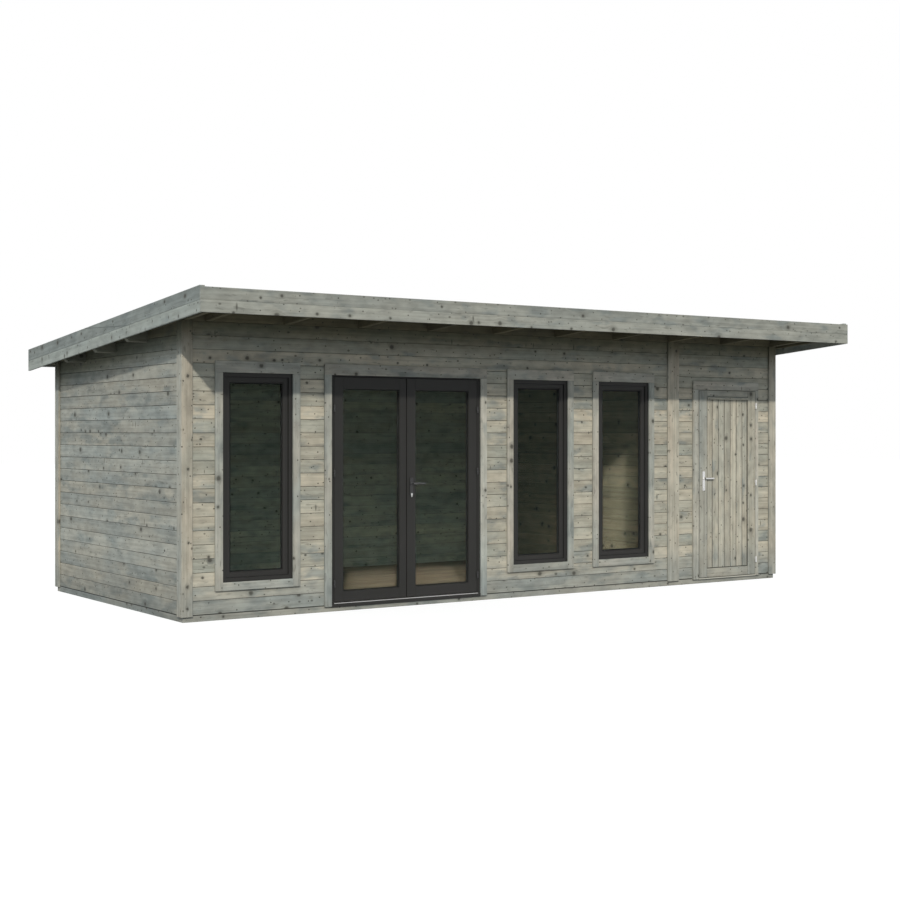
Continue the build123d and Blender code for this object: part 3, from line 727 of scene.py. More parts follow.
# %% Shaping
sharp_angle = math.radians(30)


def chamfer(piece, wanted, amount, segments=1):
    """Bevels the edges that a test picks."""
    alone(piece)
    edit_mode()
    pick("EDGE", wanted)
    bpy.ops.mesh.bevel(offset=amount, segments=segments, affect="EDGES")
    object_mode()


def ease_edges(piece, radius, segments=2):
    """Rounds every sharp edge of a piece."""
    alone(piece)
    edit_mode()
    bpy.ops.mesh.select_mode(type="EDGE")
    bpy.ops.mesh.select_all(action="DESELECT")
    bpy.ops.mesh.edges_select_sharp(sharpness=sharp_angle)
    bpy.ops.mesh.bevel(offset=radius, segments=segments, affect="EDGES", clamp_overlap=True)
    object_mode()


def move_points(piece, wanted, shift):
    """Moves the corners that a test picks."""
    alone(piece)
    edit_mode()
    pick("VERT", wanted)
    bpy.ops.transform.translate(value=shift)
    object_mode()


def push(shift):
    """In edit mode, extrudes what is selected."""
    bpy.ops.mesh.extrude_region_move(TRANSFORM_OT_translate={"value": shift})


def apply_modifier(piece, kind, **settings):
    alone(piece)
    modifier = piece.modifiers.new(kind.lower(), kind)
    for setting, value in settings.items():
        setattr(modifier, setting, value)
    bpy.ops.object.modifier_apply(modifier=modifier.name)


def repeated(piece, times, step):
    apply_modifier(piece, "ARRAY", count=times, use_relative_offset=False,
                   use_constant_offset=True, constant_offset_displace=step)


def joined(name, pieces):
    alone(*pieces)
    if len(pieces) > 1:
        bpy.ops.object.join()
    pieces[0].name = name
    return pieces[0]


def cut_away(piece, cutters):
    cutter = joined("cutter", cutters)
    apply_modifier(piece, "BOOLEAN", operation="DIFFERENCE", solver="EXACT", object=cutter)
    bpy.data.objects.remove(cutter)


print("shaping ready")

# %% [markdown]
# ## Starting and finishing a piece
# Most pieces start as a cube between two corners, with its place kept in its mesh, so that its finish
# lies still when the piece moves. A pitched piece has its far end let down by the fall of the roof. A
# turned cube would also lean its ends, but the real boards are cut upright. A finished piece rides on
# its body and stands for the solids that it dresses.


# %% Starting and finishing
def placed(name):
    """Names a new primitive and moves its place and size into its mesh."""
    piece = bpy.context.object
    piece.name = name
    bpy.ops.object.transform_apply(location=True, rotation=True, scale=True)
    return piece


def start_cube(name, low, high):
    bpy.ops.object.select_all(action="DESELECT")
    low, high = Vector(low), Vector(high)
    bpy.ops.mesh.primitive_cube_add(size=1, calc_uvs=False, location=(low + high) / 2, scale=high - low)
    return placed(name)


def start_pitched(name, low, high, top_only=False):
    """A cube between two corners of a pitched piece, with its far end, or its top there, let down."""
    low, high = Vector(low), Vector(high)
    drop = roof_fall * (high.y - low.y)
    middle_y = (low.y + high.y) / 2
    if not top_only:
        low.z += drop
    middle_z = (low.z + high.z) / 2
    piece = start_cube(name, low, high)
    move_points(piece, lambda point: point.co.y > middle_y and (point.co.z > middle_z or not top_only),
                (0, 0, -drop))
    return piece


def finished(piece, finish, body, slot, *nodes):
    """Gives a piece its finish, hangs it on its body and hides the solids that it dresses."""
    piece.data.materials.clear()
    piece.data.materials.append(finish)
    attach(piece, body)
    if nodes:
        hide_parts(*nodes)
    print(piece.name, "has", len(piece.data.polygons), "faces")
    return piece


print("starting and finishing ready")

# %% [markdown]
# ## Laying the grain
# Here each board gets the map that the timber finish reads. In a piece that holds many boards, such as a
# wall of planks, each course across the piece counts as a board of its own. Faces also get marks that
# the finish reads: joint on the downward chamfers, painted darker as shade in the joints with some dirt,
# and shaded where no sun bleaches the wood. An unwrap would give no straight grain, so the map is worked
# out from the corners of the faces.

# %% Laying the grain
map_margin = 0.05
board_numbers = count(1)
turned_up = 0.3
facing = 0.5


def mark_faces(mesh, name, wanted):
    """Writes 1 on the faces that a test picks, for a finish to read, and 0 on the others."""
    layer = mesh.attributes.new(name, "FLOAT", "FACE")
    layer.data.foreach_set("value", [float(wanted(face.normal, face.center)) for face in mesh.polygons])


def set_faces(piece, mark, wanted):
    """Sets a mark to 1 on more faces of a piece."""
    layer = piece.data.attributes[mark]
    for face in piece.data.polygons:
        if wanted(face.normal, face.center):
            layer.data[face.index].value = 1.0


def shade_and_dirt_chamfer(normal, middle):
    """True on the downward chamfers of a joint, painted darker as shade with some dirt; the upward ones stay
    light.
    """
    return max(abs(value) for value in normal) < flat_face and normal.z < turned_up


def turned_from_sun(normal, middle):
    return normal.y > -facing


def numbered_courses(mesh, corners, axis, pitch):
    """The course that each corner of a face lies in. Each course takes the next board number."""
    starts = np.empty(len(mesh.polygons), np.int32)
    sizes = np.empty(len(mesh.polygons), np.int32)
    mesh.polygons.foreach_get("loop_start", starts)
    mesh.polygons.foreach_get("loop_total", sizes)
    middles = np.add.reduceat(corners[:, axis], starts) / sizes
    course = np.repeat(np.floor(middles / pitch).astype(int), sizes)
    for _ in range(course.max()):
        next(board_numbers)
    return course


def lay_grain(piece, along, pitched=False, courses=None):
    """Maps a piece so that u runs along its grain and v round the section of each board."""
    mesh = piece.data
    points = np.empty(len(mesh.vertices) * 3, np.float32)
    mesh.vertices.foreach_get("co", points)
    points = points.reshape(-1, 3)
    if pitched:
        points[:, 2] += roof_fall * points[:, 1]
    points -= points.min(0)
    corner_points = np.empty(len(mesh.loops), np.int32)
    mesh.loops.foreach_get("vertex_index", corner_points)
    corners = points[corner_points]
    number = next(board_numbers)
    if courses:
        axis, pitch = courses
        course = numbered_courses(mesh, corners, axis, pitch)
        corners[:, axis] -= course * pitch
        number = number + course
        # The downward chamfers are marked, for painted shade and dirt in the joints.
        mark_faces(mesh, "joint", shade_and_dirt_chamfer)
    mark_faces(mesh, "shaded", turned_from_sun)
    across = corners.sum(1) - corners[:, along]
    layer = mesh.uv_layers.new(name="grain")
    layer.data.foreach_set("uv", np.column_stack((corners[:, along], number + map_margin + across)).ravel())


print("grain maps ready")

# %% [markdown]
# ## Boards
# A board is a cube with its edges eased, as planed timber is: a sharp edge would catch no light. Most
# nodes of the frame are sets of boards, so one helper makes all the boards of a node, each with its
# grain along its length.

# %% Boards
eased_edge = 0.0025


def board(name, low, high, along, shape="square"):
    if shape == "square":
        piece = start_cube(name, low, high)
    else:
        piece = start_pitched(name, low, high, top_only=shape == "cut top")
    ease_edges(piece, eased_edge)
    lay_grain(piece, along, pitched=shape == "pitched")
    return piece


def longest_axis(low, high):
    size = high - low
    return max(range(3), key=lambda axis: size[axis])


def boards_of(name, node, shape="square"):
    """A board for every solid of a node, joined to one piece."""
    boxes = solids_of(node)
    return joined(name, [board(name, low, high, longest_axis(low, high), shape) for low, high in boxes])


print("boards: edges eased", eased_edge * 1000, "mm")

# %% [markdown]
# ## Planked walls
# The walls are planks laid on edge, 114 mm to a course, with chamfered edges that make a V at every
# joint, and with a tongue on top that stands in the groove of the plank above. One plank is made and
# repeated upwards. The openings are cut out of the courses, as a saw would, and the top is cut off along
# the roof. Grooves cut into one slab would look alike from far away, but planks also show their ends and
# joints at every opening.

# %% One wall of planks
plank_pitch = 0.114
joint_gap = 0.0016
plank_chamfer = 0.003
tongue_inset = 0.011
tongue_height = 0.008
cut_margin = 0.02


def plank_wall(name, low, high, along):
    plank_top = low.z + plank_pitch - joint_gap
    wall = start_cube(name, low, (high.x, high.y, plank_top))
    chamfer(wall, lambda edge: runs_along(edge, along), plank_chamfer)
    edit_mode()
    for upward, inset in ((1, tongue_inset), (-1, tongue_inset - joint_gap)):
        pick("FACE", lambda face: face.normal.z * upward > flat_face)
        bpy.ops.mesh.inset(thickness=inset)
        push((0, 0, tongue_height))
    object_mode()
    repeated(wall, math.ceil((high.z - low.z) / plank_pitch - same_place), (0, 0, plank_pitch))
    return wall


def cut_to_roof(wall):
    alone(wall)
    edit_mode()
    select_whole()
    bpy.ops.mesh.bisect(plane_co=(0, front_face, front_wall_top), plane_no=(0, roof_fall, 1),
                        use_fill=True, clear_outer=True)
    object_mode()


print("planks:", plank_pitch * 1000, "mm to a course")

# %% [markdown]
# ## Front and rear walls
# The frame splits the front wall into parts beside and over the doors. The real planks run past the
# openings, so one wall is laid over the whole front and the openings are cut out of it. The side of the
# rear wall that looks into the room is marked, for the calmer wood indoors, and is painted lighter as
# painted light in the dim room. It is also marked as shaded, a cool tint painted for the shade indoors.


# %% Front and rear walls
def front_cutter(node, foot_margin=0.0):
    low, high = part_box(node)
    return start_cube("cutter", (low.x, front_face - cut_margin, low.z - foot_margin),
                      (high.x, room_front + cut_margin, high.z))


def turned_to_room(normal, middle):
    """True on the side of the rear wall that looks into the room."""
    return normal.y < -facing


window_nodes = ("left_window_frame", "middle_window_frame", "right_window_frame")
front_nodes = ("front_wall_left", "front_wall_middle", "front_wall_right", "front_wall_top")
front_low = Vector((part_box("front_wall_top")[0].x, front_face, wall_foot))
front_planks = plank_wall("front_planks", front_low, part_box("front_wall_top")[1], 0)
front_cutters = [front_cutter(node) for node in window_nodes]
front_cutters += [front_cutter(node, cut_margin) for node in ("double_door_frame", "store_door_frame")]
cut_away(front_planks, front_cutters)
cut_to_roof(front_planks)
lay_grain(front_planks, 0, courses=(2, plank_pitch))
finished(front_planks, wall_timber, "building", "wall_timber", *front_nodes)

rear_planks = plank_wall("rear_planks", *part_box("rear_wall"), 0)
cut_to_roof(rear_planks)
lay_grain(rear_planks, 0, courses=(2, plank_pitch))
# The inside of the rear wall gets painted light, and the cool tint of shaded sides as painted shade.
mark_faces(rear_planks.data, "inner", turned_to_room)
set_faces(rear_planks, "shaded", turned_to_room)
finished(rear_planks, wall_timber, "building", "wall_timber", "rear_wall")

# %% [markdown]
# ## Side walls and partition
# The side walls and the partition are planked in the same way, and the purlins pass through their upper
# edge. Each purlin gets its notch, cut to the slope of the roof, so that nothing overlaps there.

# %% Side walls and partition
for name, node, finish in (("left_planks", "left_wall", wall_timber),
                           ("right_planks", "right_wall", wall_timber),
                           ("partition_planks", "partition_wall", inner_timber)):
    low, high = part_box(node)
    side_planks = plank_wall(name, low, high, 1)
    notches = [start_pitched("cutter", (low.x - cut_margin, purlin_low.y, purlin_low.z),
                             (high.x + cut_margin, purlin_high.y, purlin_high.z + cut_margin))
               for purlin_low, purlin_high in solids_of("purlins")]
    cut_away(side_planks, notches)
    cut_to_roof(side_planks)
    lay_grain(side_planks, 1, courses=(2, plank_pitch))
    finished(side_planks, finish, "building", "wall_timber", node)

# %% [markdown]
# ## Base beams and floor
# The house stands on square beams laid on the ground, two along its length and the rest across. The
# floor boards lie on them along the house. One floor board is repeated across each room, and the door
# frames are cut out of the first boards, as a carpenter would notch them.

# %% Base and floor
floor_board_pitch = 0.1197
floor_chamfer = 0.0015

finished(boards_of("ground_beams", "base_beams"), base_timber, "building", "base_timber", "base_beams")

rooms = []
for low, high in solids_of("floor"):
    room = start_cube("floor_boards", low, (high.x, low.y + floor_board_pitch - joint_gap / 2, high.z))
    chamfer(room, lambda edge: runs_along(edge, 0) and edge.verts[0].co.z > low.z + same_place,
            floor_chamfer)
    repeated(room, round((high.y - low.y) / floor_board_pitch), (0, floor_board_pitch, 0))
    cutters = []
    for node in ("double_door_frame", "store_door_frame"):
        frame_low, frame_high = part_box(node)
        cutters.append(start_cube("cutter", (frame_low.x, frame_low.y, low.z - cut_margin), frame_high))
    cut_away(room, cutters)
    lay_grain(room, 0, courses=(1, floor_board_pitch))
    rooms.append(room)
finished(joined("floor_boards", rooms), floor_timber, "building", "floor_timber", "floor")

# %% [markdown]
# ## Cover boards
# Flat boards cover the corners, the end of the partition and the gaps round windows and doors. They
# stand proud of the planks, so their eased edges catch the light. The corner boards and the partition
# strip run up to the roof, where their tops are cut to its slope. The left half of the store door's
# casing has weathered as cool as a shaded side, so it is marked as one.

# %% Cover boards
for name, node in (("corner_covers", "corner_boards"), ("partition_strip", "partition_cover")):
    finished(boards_of(name, node, "cut top"), corner_timber, "building", "cover_timber", node)
for name, node in (("window_trim", "window_casings"), ("double_door_trim", "double_door_casing")):
    finished(boards_of(name, node), cover_timber, "building", "cover_timber", node)

store_trim = boards_of("store_door_trim", "store_door_casing")
store_middle = (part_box("store_door_casing")[0].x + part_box("store_door_casing")[1].x) / 2
set_faces(store_trim, "shaded", lambda normal, middle: middle.x < store_middle - same_place)
finished(store_trim, cover_timber, "building", "cover_timber", "store_door_casing")

# %% [markdown]
# ## Frames round an opening
# A window frame, a sash, a bead and a seal are all bars round an opening. Four bars could be made one by
# one, but a plane that is inset, opened in the middle and given its depth leaves the corners joined.
# A glazing bead is such a ring with its inner edge sloped, so that water runs off it.

# %% Frames round an opening
paint_edge = 0.0015


def ring(name, low, high, width):
    size = high - low
    middle = (low + high) / 2
    bpy.ops.object.select_all(action="DESELECT")
    bpy.ops.mesh.primitive_plane_add(size=1, calc_uvs=False, location=(middle.x, low.y, middle.z),
                                     rotation=(math.pi / 2, 0, 0))
    bpy.context.object.scale = (size.x, size.z, 1)
    piece = placed(name)
    edit_mode()
    select_whole()
    bpy.ops.mesh.inset(thickness=width)
    bpy.ops.mesh.delete(type="FACE")
    bpy.ops.mesh.select_mode(type="FACE")
    select_whole()
    push((0, size.y, 0))
    select_whole()
    bpy.ops.mesh.normals_make_consistent(inside=False)
    object_mode()
    return piece


def slope_inner_edge(piece, low, high, sloped_y, amount):
    """Chamfers the inner edges of one face of a ring into a glazing bead."""
    def inner_edge(edge):
        ends = [vertex.co for vertex in edge.verts]
        at_face = all(abs(end.y - sloped_y) < same_place for end in ends)
        outer = any(min(end.x - low.x, high.x - end.x, end.z - low.z, high.z - end.z) < same_place
                    for end in ends)
        return at_face and not outer

    chamfer(piece, inner_edge, amount)


def box_of(boxes):
    """The box round several boxes."""
    lows, highs = zip(*boxes)
    return Vector(map(min, zip(*lows))), Vector(map(max, zip(*highs)))


print("frames: painted edges eased", paint_edge * 1000, "mm")

# %% [markdown]
# ## Windows
# Each window is a painted outer frame and a sash that sits back in it. The sash has a sloping bead round
# its glass, and the glass sits in a rubber seal, which is a thin black line from the front.

# %% Windows
bead_slope = 0.011
seal_width = 0.004
seal_proud = 0.002

seals = []
for node, (pane_low, pane_high) in zip(window_nodes, solids_of("window_glass")):
    boxes = solids_of(node)
    frame_boxes = [box for box in boxes if abs(box[0].y - front_face) < same_place]
    outer = box_of(frame_boxes)
    sash = box_of([box for box in boxes if box not in frame_boxes])
    name = node.replace("frame", "joinery")
    outer_frame = ring(name, *outer, sash[0].x - outer[0].x - joint_gap)
    ease_edges(outer_frame, paint_edge)
    sash_frame = ring("sash", *sash, pane_low.x - sash[0].x)
    slope_inner_edge(sash_frame, *sash, sash[0].y, bead_slope)
    ease_edges(sash_frame, paint_edge)
    finished(joined(name, [outer_frame, sash_frame]), anthracite, "building", "anthracite", node)
    for face_y in (pane_low.y - seal_proud, pane_high.y):
        seal = ring("seal", Vector((pane_low.x, face_y, pane_low.z)),
                    Vector((pane_high.x, face_y + seal_proud, pane_high.z)), seal_width)
        ease_edges(seal, seal_proud / 4)
        seals.append(seal)
finished(joined("window_seals", seals), rubber, "building", "anthracite")

# %% [markdown]
# ## Glass units
# Windows and doors have double glazing: two sheets with a dark spacer between them at the edge. One
# thick pane would bend the view through it. Light passes through glass, so the sheets cast no shadow.

# %% Glass units
sheet_thickness = 0.004
sheet_edge = 0.0005
spacer_width = 0.011


def glass_unit(low, high):
    """Two sheets and the spacer between them, in the place of one solid pane."""
    sheets = []
    for near in (low.y, high.y - sheet_thickness):
        sheet = start_cube("sheet", (low.x, near, low.z), (high.x, near + sheet_thickness, high.z))
        ease_edges(sheet, sheet_edge, 1)
        sheets.append(sheet)
    spacer = ring("spacer", Vector((low.x, low.y + sheet_thickness, low.z)),
                  Vector((high.x, high.y - sheet_thickness, high.z)), spacer_width)
    ease_edges(spacer, sheet_edge, 1)
    return sheets, spacer


for name, body in (("window", "building"), ("left_leaf", "left_leaf"), ("right_leaf", "right_leaf")):
    sheets, spacers = [], []
    node = name + "_glass"
    for box in solids_of(node):
        unit_sheets, spacer = glass_unit(*box)
        sheets += unit_sheets
        spacers.append(spacer)
    panes = finished(joined(name + "_panes", sheets), glass, body, "glass", node)
    panes.visible_shadow = False
    finished(joined(name + "_spacers", spacers), dark_metal, body, "dark_metal")

# %% [markdown]
# ## Door frames and the glazed leaves
# The frame of each door is two jambs, a head and narrow stops that the leaf closes against. The glazed
# leaves are painted stiles and rails with a sloping bead round the glass on both sides. Stiles and rails
# differ in width, so they are bars of their own and not a ring. The leaves ride on their own bodies, so
# that they swing.


# %% Door frames and leaves
def painted_bars(name, node):
    bars = []
    for low, high in solids_of(node):
        bar = start_cube(name, low, high)
        ease_edges(bar, paint_edge)
        bars.append(bar)
    return joined(name, bars)


finished(painted_bars("double_door_jambs", "double_door_frame"), anthracite,
         "building", "anthracite", "double_door_frame")
finished(boards_of("store_door_jambs", "store_door_frame"), door_timber,
         "building", "door_timber", "store_door_frame")

leaf_bead_slope = 0.003
for leaf in ("left_leaf", "right_leaf"):
    pane_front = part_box(leaf + "_glass")[0].y
    pieces = [painted_bars(leaf + "_joinery", leaf + "_frame")]
    bead_boxes = solids_of(leaf + "_beads")
    bead_width = min(high.x - low.x for low, high in bead_boxes)
    front_bead = box_of([box for box in bead_boxes if box[0].y < pane_front])
    rear_bead = box_of([box for box in bead_boxes if box[0].y > pane_front])
    for (low, high), sloped_y in ((front_bead, front_bead[0].y), (rear_bead, rear_bead[1].y)):
        bead = ring("bead", low, high, bead_width)
        slope_inner_edge(bead, low, high, sloped_y, leaf_bead_slope)
        ease_edges(bead, paint_edge / 2)
        pieces.append(bead)
    finished(joined(leaf + "_joinery", pieces), anthracite, leaf, "anthracite",
             leaf + "_frame", leaf + "_beads")

# %% [markdown]
# ## Thresholds
# The double door closes over an aluminium plate with grooves along it and a front edge that slopes to
# shed water. A dark nose in front and a dark block behind carry the plate. The grooves are cut into it,
# because they are real channels that hold a line of shade. The store door has a plain pale strip at its
# foot.

# %% Thresholds
groove_width = 0.003
groove_depth = 0.001
groove_count = 3
nose_fall = 0.005
boxes = solids_of("double_door_threshold")
plate_low, plate_high = max(boxes, key=lambda box: box[1].z)
nose_box = min(boxes, key=lambda box: box[0].z)
sill_box = next(box for box in boxes if box != nose_box and box[1].z < plate_high.z - same_place)

plate = start_cube("double_door_sill", plate_low, plate_high)
edit_mode()
select_whole()
bpy.ops.mesh.bisect(plane_co=(0, front_face, 0), plane_no=(0, 1, 0))
object_mode()
move_points(plate, lambda point: point.co.y < front_face - same_place
            and point.co.z > plate_low.z + same_place, (0, 0, -nose_fall))
grooves = []
for number in range(groove_count):
    near = front_face + (2 * number + 1) * groove_width
    grooves.append(start_cube("cutter", (plate_low.x - cut_margin, near, plate_high.z - groove_depth),
                              (plate_high.x + cut_margin, near + groove_width, plate_high.z + cut_margin)))
cut_away(plate, grooves)
ease_edges(plate, groove_depth / 4, 1)
finished(plate, threshold_metal, "building", "threshold_metal", "double_door_threshold")

for name, box in (("double_door_sill_nose", nose_box), ("double_door_sill_block", sill_box)):
    under_plate = start_cube(name, *box)
    ease_edges(under_plate, paint_edge)
    finished(under_plate, anthracite, "building", "anthracite")
strip = start_cube("store_door_strip", *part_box("store_door_threshold"))
ease_edges(strip, paint_edge)
finished(strip, strip_metal, "building", "threshold_metal", "store_door_threshold")

# %% [markdown]
# ## Boards of the store door
# The store leaf is a frame of stiles and rails round upright boards with V joints, the last of them sawn
# narrower to fit. One board is repeated, and the last is cut off. A dark line beside the left stile is a
# painted shadow of the stile, and a darker strip runs along the foot, so the boards are split there to
# carry the mark.

# %% Boards of the store door
panel_boards = 7
last_board_share = 0.8
stile_shadow_line = (0.007, 0.017)
foot_dark_strip = 0.009
board_chamfer = 0.0035
panel_low, panel_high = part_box("store_leaf_panel")
panel_pitch = (panel_high.x - panel_low.x) / (panel_boards - 1 + last_board_share)
panel = start_cube("store_leaf_boards", panel_low,
                   (panel_low.x + panel_pitch - joint_gap / 4, panel_high.y, panel_high.z))
chamfer(panel, lambda edge: runs_along(edge, 2), board_chamfer)
repeated(panel, panel_boards, (panel_pitch, 0, 0))
cut_away(panel, [start_cube("cutter", (panel_high.x, panel_low.y - cut_margin, panel_low.z - cut_margin),
                            panel_high + Vector((panel_pitch, cut_margin, cut_margin)))])
alone(panel)
edit_mode()
for place, direction in (((panel_low.x + stile_shadow_line[0], 0, 0), (1, 0, 0)),
                         ((panel_low.x + stile_shadow_line[1], 0, 0), (1, 0, 0)),
                         ((0, 0, panel_low.z + foot_dark_strip), (0, 0, 1))):
    select_whole()
    bpy.ops.mesh.bisect(plane_co=place, plane_no=direction)
object_mode()
lay_grain(panel, 2, courses=(0, panel_pitch))
# Painted shadow of the left stile on the boards, and a darker strip along their foot.
set_faces(panel, "joint", lambda normal, middle: stile_shadow_line[0] < middle.x - panel_low.x < stile_shadow_line[1])
set_faces(panel, "joint", lambda normal, middle: middle.z < panel_low.z + foot_dark_strip)
finished(panel, door_timber, "store_leaf", "door_timber", "store_leaf_panel")

# %% [markdown]
# ## Frame and drip bar of the store door
# The stiles and rails are boards like the rest. The hinge side gets more sun, so the other side and the
# head are marked as shaded, and the faces of the stiles that turn sideways are painted dark, as painted
# shade in the gaps round the leaf. A drip bar under the top rail throws rain clear of the boards. It
# starts as a cube, and its front edge is let down to make the slope.

# %% Frame and drip bar of the store door
drip_slope = 0.01
store_frame = boards_of("store_leaf_joinery", "store_leaf_frame")
set_faces(store_frame, "shaded", lambda normal, middle: middle.x < panel_low.x or middle.z > panel_high.z)
# Painted shade: the sideways faces of the stiles and rails are darkened, as the shade in the gaps round the
# leaf.
mark_faces(store_frame.data, "joint", lambda normal, middle: abs(normal.x) > facing)
finished(store_frame, door_timber, "store_leaf", "door_timber", "store_leaf_frame")

drip_low, drip_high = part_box("store_leaf_drip_bar")
drip_bar = start_cube("store_leaf_drip", drip_low, drip_high)
move_points(drip_bar, lambda point: point.co.y < drip_high.y - same_place
            and point.co.z > drip_high.z - same_place, (0, 0, -drip_slope))
ease_edges(drip_bar, paint_edge)
lay_grain(drip_bar, 0)
finished(drip_bar, door_timber, "store_leaf", "door_timber", "store_leaf_drip_bar")

# %% [markdown]
# ## One half of a hinge
# Each hinge is two halves on one pin: a turned barrel with a rounded cap, and a thin wing screwed to the
# leaf or the frame. A lathe would turn the barrel, so it starts as a cylinder whose end is inset and
# pushed out.

# %% One half of a hinge
barrel_sides = 24
cap_height = 0.003
cap_inset = 0.0022
wing_edge = 0.0008
wing_share = 0.36
smooth_barrel = math.radians(35)


def hinge_half(box, axis, cap_up):
    low, high = box[0].copy(), box[1].copy()
    if cap_up > 0:
        high.z -= cap_height
    else:
        low.z += cap_height
    radius = axis.y - low.y
    bpy.ops.object.select_all(action="DESELECT")
    bpy.ops.mesh.primitive_cylinder_add(vertices=barrel_sides, radius=radius, depth=high.z - low.z,
                                        calc_uvs=False, location=(axis.x, axis.y, (low.z + high.z) / 2))
    barrel = placed("barrel")
    edit_mode()
    pick("FACE", lambda face: face.normal.z * cap_up > flat_face)
    bpy.ops.mesh.inset(thickness=cap_inset)
    push((0, 0, cap_up * cap_height))
    object_mode()
    ease_edges(barrel, wing_edge)
    bpy.ops.object.shade_smooth_by_angle(angle=smooth_barrel)
    wing_x = (low.x, axis.x) if axis.x - low.x > high.x - axis.x else (axis.x, high.x)
    wing = start_cube("wing", (wing_x[0], high.y - radius * wing_share, low.z), (wing_x[1], high.y, high.z))
    ease_edges(wing, wing_edge)
    return joined("hinge_half", [barrel, wing])


print("hinge barrels have", barrel_sides, "sides")

# %% [markdown]
# ## Hinges on their pin lines
# The hinges of a door turn about one line, and the frame knows that line as a joint. So the barrels are
# centred on the joint, and the door swings true. A half is made once for each row and copied up the door.

# %% Hinges on their pin lines
pin_reach = 0.01
joint_places = {joint["name"]: Vector(joint["pos_m"]) for joint in frame["joints"]}


def copied(piece, shift):
    twin = piece.copy()
    twin.data = piece.data.copy()
    twin.data.transform(Matrix.Translation(shift))
    bpy.context.scene.collection.objects.link(twin)
    return twin


def hinges(name, node, axis_name, cap_up):
    """All the halves of one node, the first modelled and the others copied up the pin line."""
    axis = joint_places[axis_name]
    near_axis = [box for box in solids_of(node) if box[0].x - pin_reach < axis.x < box[1].x + pin_reach]
    first = hinge_half(near_axis[0], axis, cap_up)
    halves = [first] + [copied(first, (0, 0, low.z - near_axis[0][0].z)) for low, high in near_axis[1:]]
    return joined(name, halves)


for prefix, frame_node, finish, slot in (
        ("left", "double_door_frame_hinges", dark_metal, "dark_metal"),
        ("right", "double_door_frame_hinges", dark_metal, "dark_metal"),
        ("store", "store_frame_hinges", bright_metal, "bright_metal")):
    leaf = prefix + "_leaf"
    leaf_half = hinges(leaf + "_hinge_halves", leaf + "_hinges", leaf + "_hinge", 1)
    finished(leaf_half, finish, leaf, slot, leaf + "_hinges")
    jamb_half = hinges(prefix + "_jamb_hinge_halves", frame_node, leaf + "_hinge", -1)
    finished(jamb_half, finish, "building", slot, frame_node)

# %% [markdown]
# ## Lever handles
# A lever is one round bar: it comes out of the backplate, bends and runs along the leaf. A curve with a
# round section could follow that line, but a disc that is extruded to make the neck, spun through a
# quarter turn to make the bend, and extruded again to make the grip also lets the grip get thinner.

# %% Levers
bar_sides = 20
bar_radius = 0.0088
bend_radius = 0.02
bend_steps = 8
grip_thin_share = 0.82
tip_inset_share = 0.3
tip_crown_share = 0.25
collar_radius = 0.0125
collar_length = 0.006
smooth_bar = math.radians(40)


def disc(x, y, z, radius, outward):
    """A flat disc that faces the front, or the back if outward is 1."""
    bpy.ops.object.select_all(action="DESELECT")
    bpy.ops.mesh.primitive_circle_add(vertices=bar_sides, radius=radius, fill_type="NGON", calc_uvs=False,
                                      location=(x, y, z), rotation=(-outward * math.pi / 2, 0, 0))
    return placed("disc")


def lever_side(axis, plate_face, grip_y, grip_end, outward):
    bar = disc(axis.x, plate_face, axis.z, collar_radius, outward)
    edit_mode()
    bpy.ops.mesh.select_mode(type="FACE")
    select_whole()
    push((0, outward * collar_length, 0))
    bpy.ops.mesh.inset(thickness=collar_radius - bar_radius)
    straight = abs(grip_y - plate_face) - collar_length - bend_radius
    push((0, outward * straight, 0))
    bend_centre = (axis.x + bend_radius, grip_y - outward * bend_radius, axis.z)
    bpy.ops.mesh.spin(steps=bend_steps, angle=-outward * math.pi / 2, center=bend_centre, axis=(0, 0, 1))
    push((grip_end - axis.x - bend_radius, 0, 0))
    bpy.ops.transform.resize(value=(1, grip_thin_share, 1))
    bpy.ops.mesh.inset(thickness=bar_radius * tip_inset_share)
    bpy.ops.transform.translate(value=(bar_radius * tip_crown_share, 0, 0))
    select_whole()
    bpy.ops.mesh.remove_doubles(threshold=merge_distance)
    bpy.ops.mesh.normals_make_consistent(inside=False)
    object_mode()
    bpy.ops.object.shade_smooth_by_angle(angle=smooth_bar)
    return bar


print("lever bars:", bar_radius * 2000, "mm thick")

# %% [markdown]
# ## Backplates and locks
# The backplate is a flat bar with rounded corners. Below the lever, the end of a lock cylinder stands
# out of it: round above, narrow below, with a key slot. Its outline is a round bar, a flat tail and a
# smaller round bar melted into one, which is how such a profile is drawn, and the slot is cut out.

# %% Backplates and locks
plate_corner = 0.009
plate_corner_steps = 5
lock_radius = 0.0085
lock_tail_width = 0.01
lock_tail_drop = 0.0195
lock_length = 0.004
slot_width = 0.002
slot_height = 0.009
slot_depth = 0.003


def backplate(low, high):
    plate = start_cube("backplate", low, high)
    chamfer(plate, lambda edge: runs_along(edge, 1), plate_corner, plate_corner_steps)
    ease_edges(plate, paint_edge)
    return plate


def combine(piece, others):
    """Melts other pieces into one."""
    for other in others:
        apply_modifier(piece, "BOOLEAN", operation="UNION", solver="EXACT", object=other)
        bpy.data.objects.remove(other)


def plug(x, z, y, radius):
    """A short round bar from one depth to another."""
    bpy.ops.object.select_all(action="DESELECT")
    bpy.ops.mesh.primitive_cylinder_add(vertices=barrel_sides, radius=radius, depth=y[1] - y[0],
                                        calc_uvs=False, location=(x, (y[0] + y[1]) / 2, z),
                                        rotation=(math.pi / 2, 0, 0))
    return placed("plug")


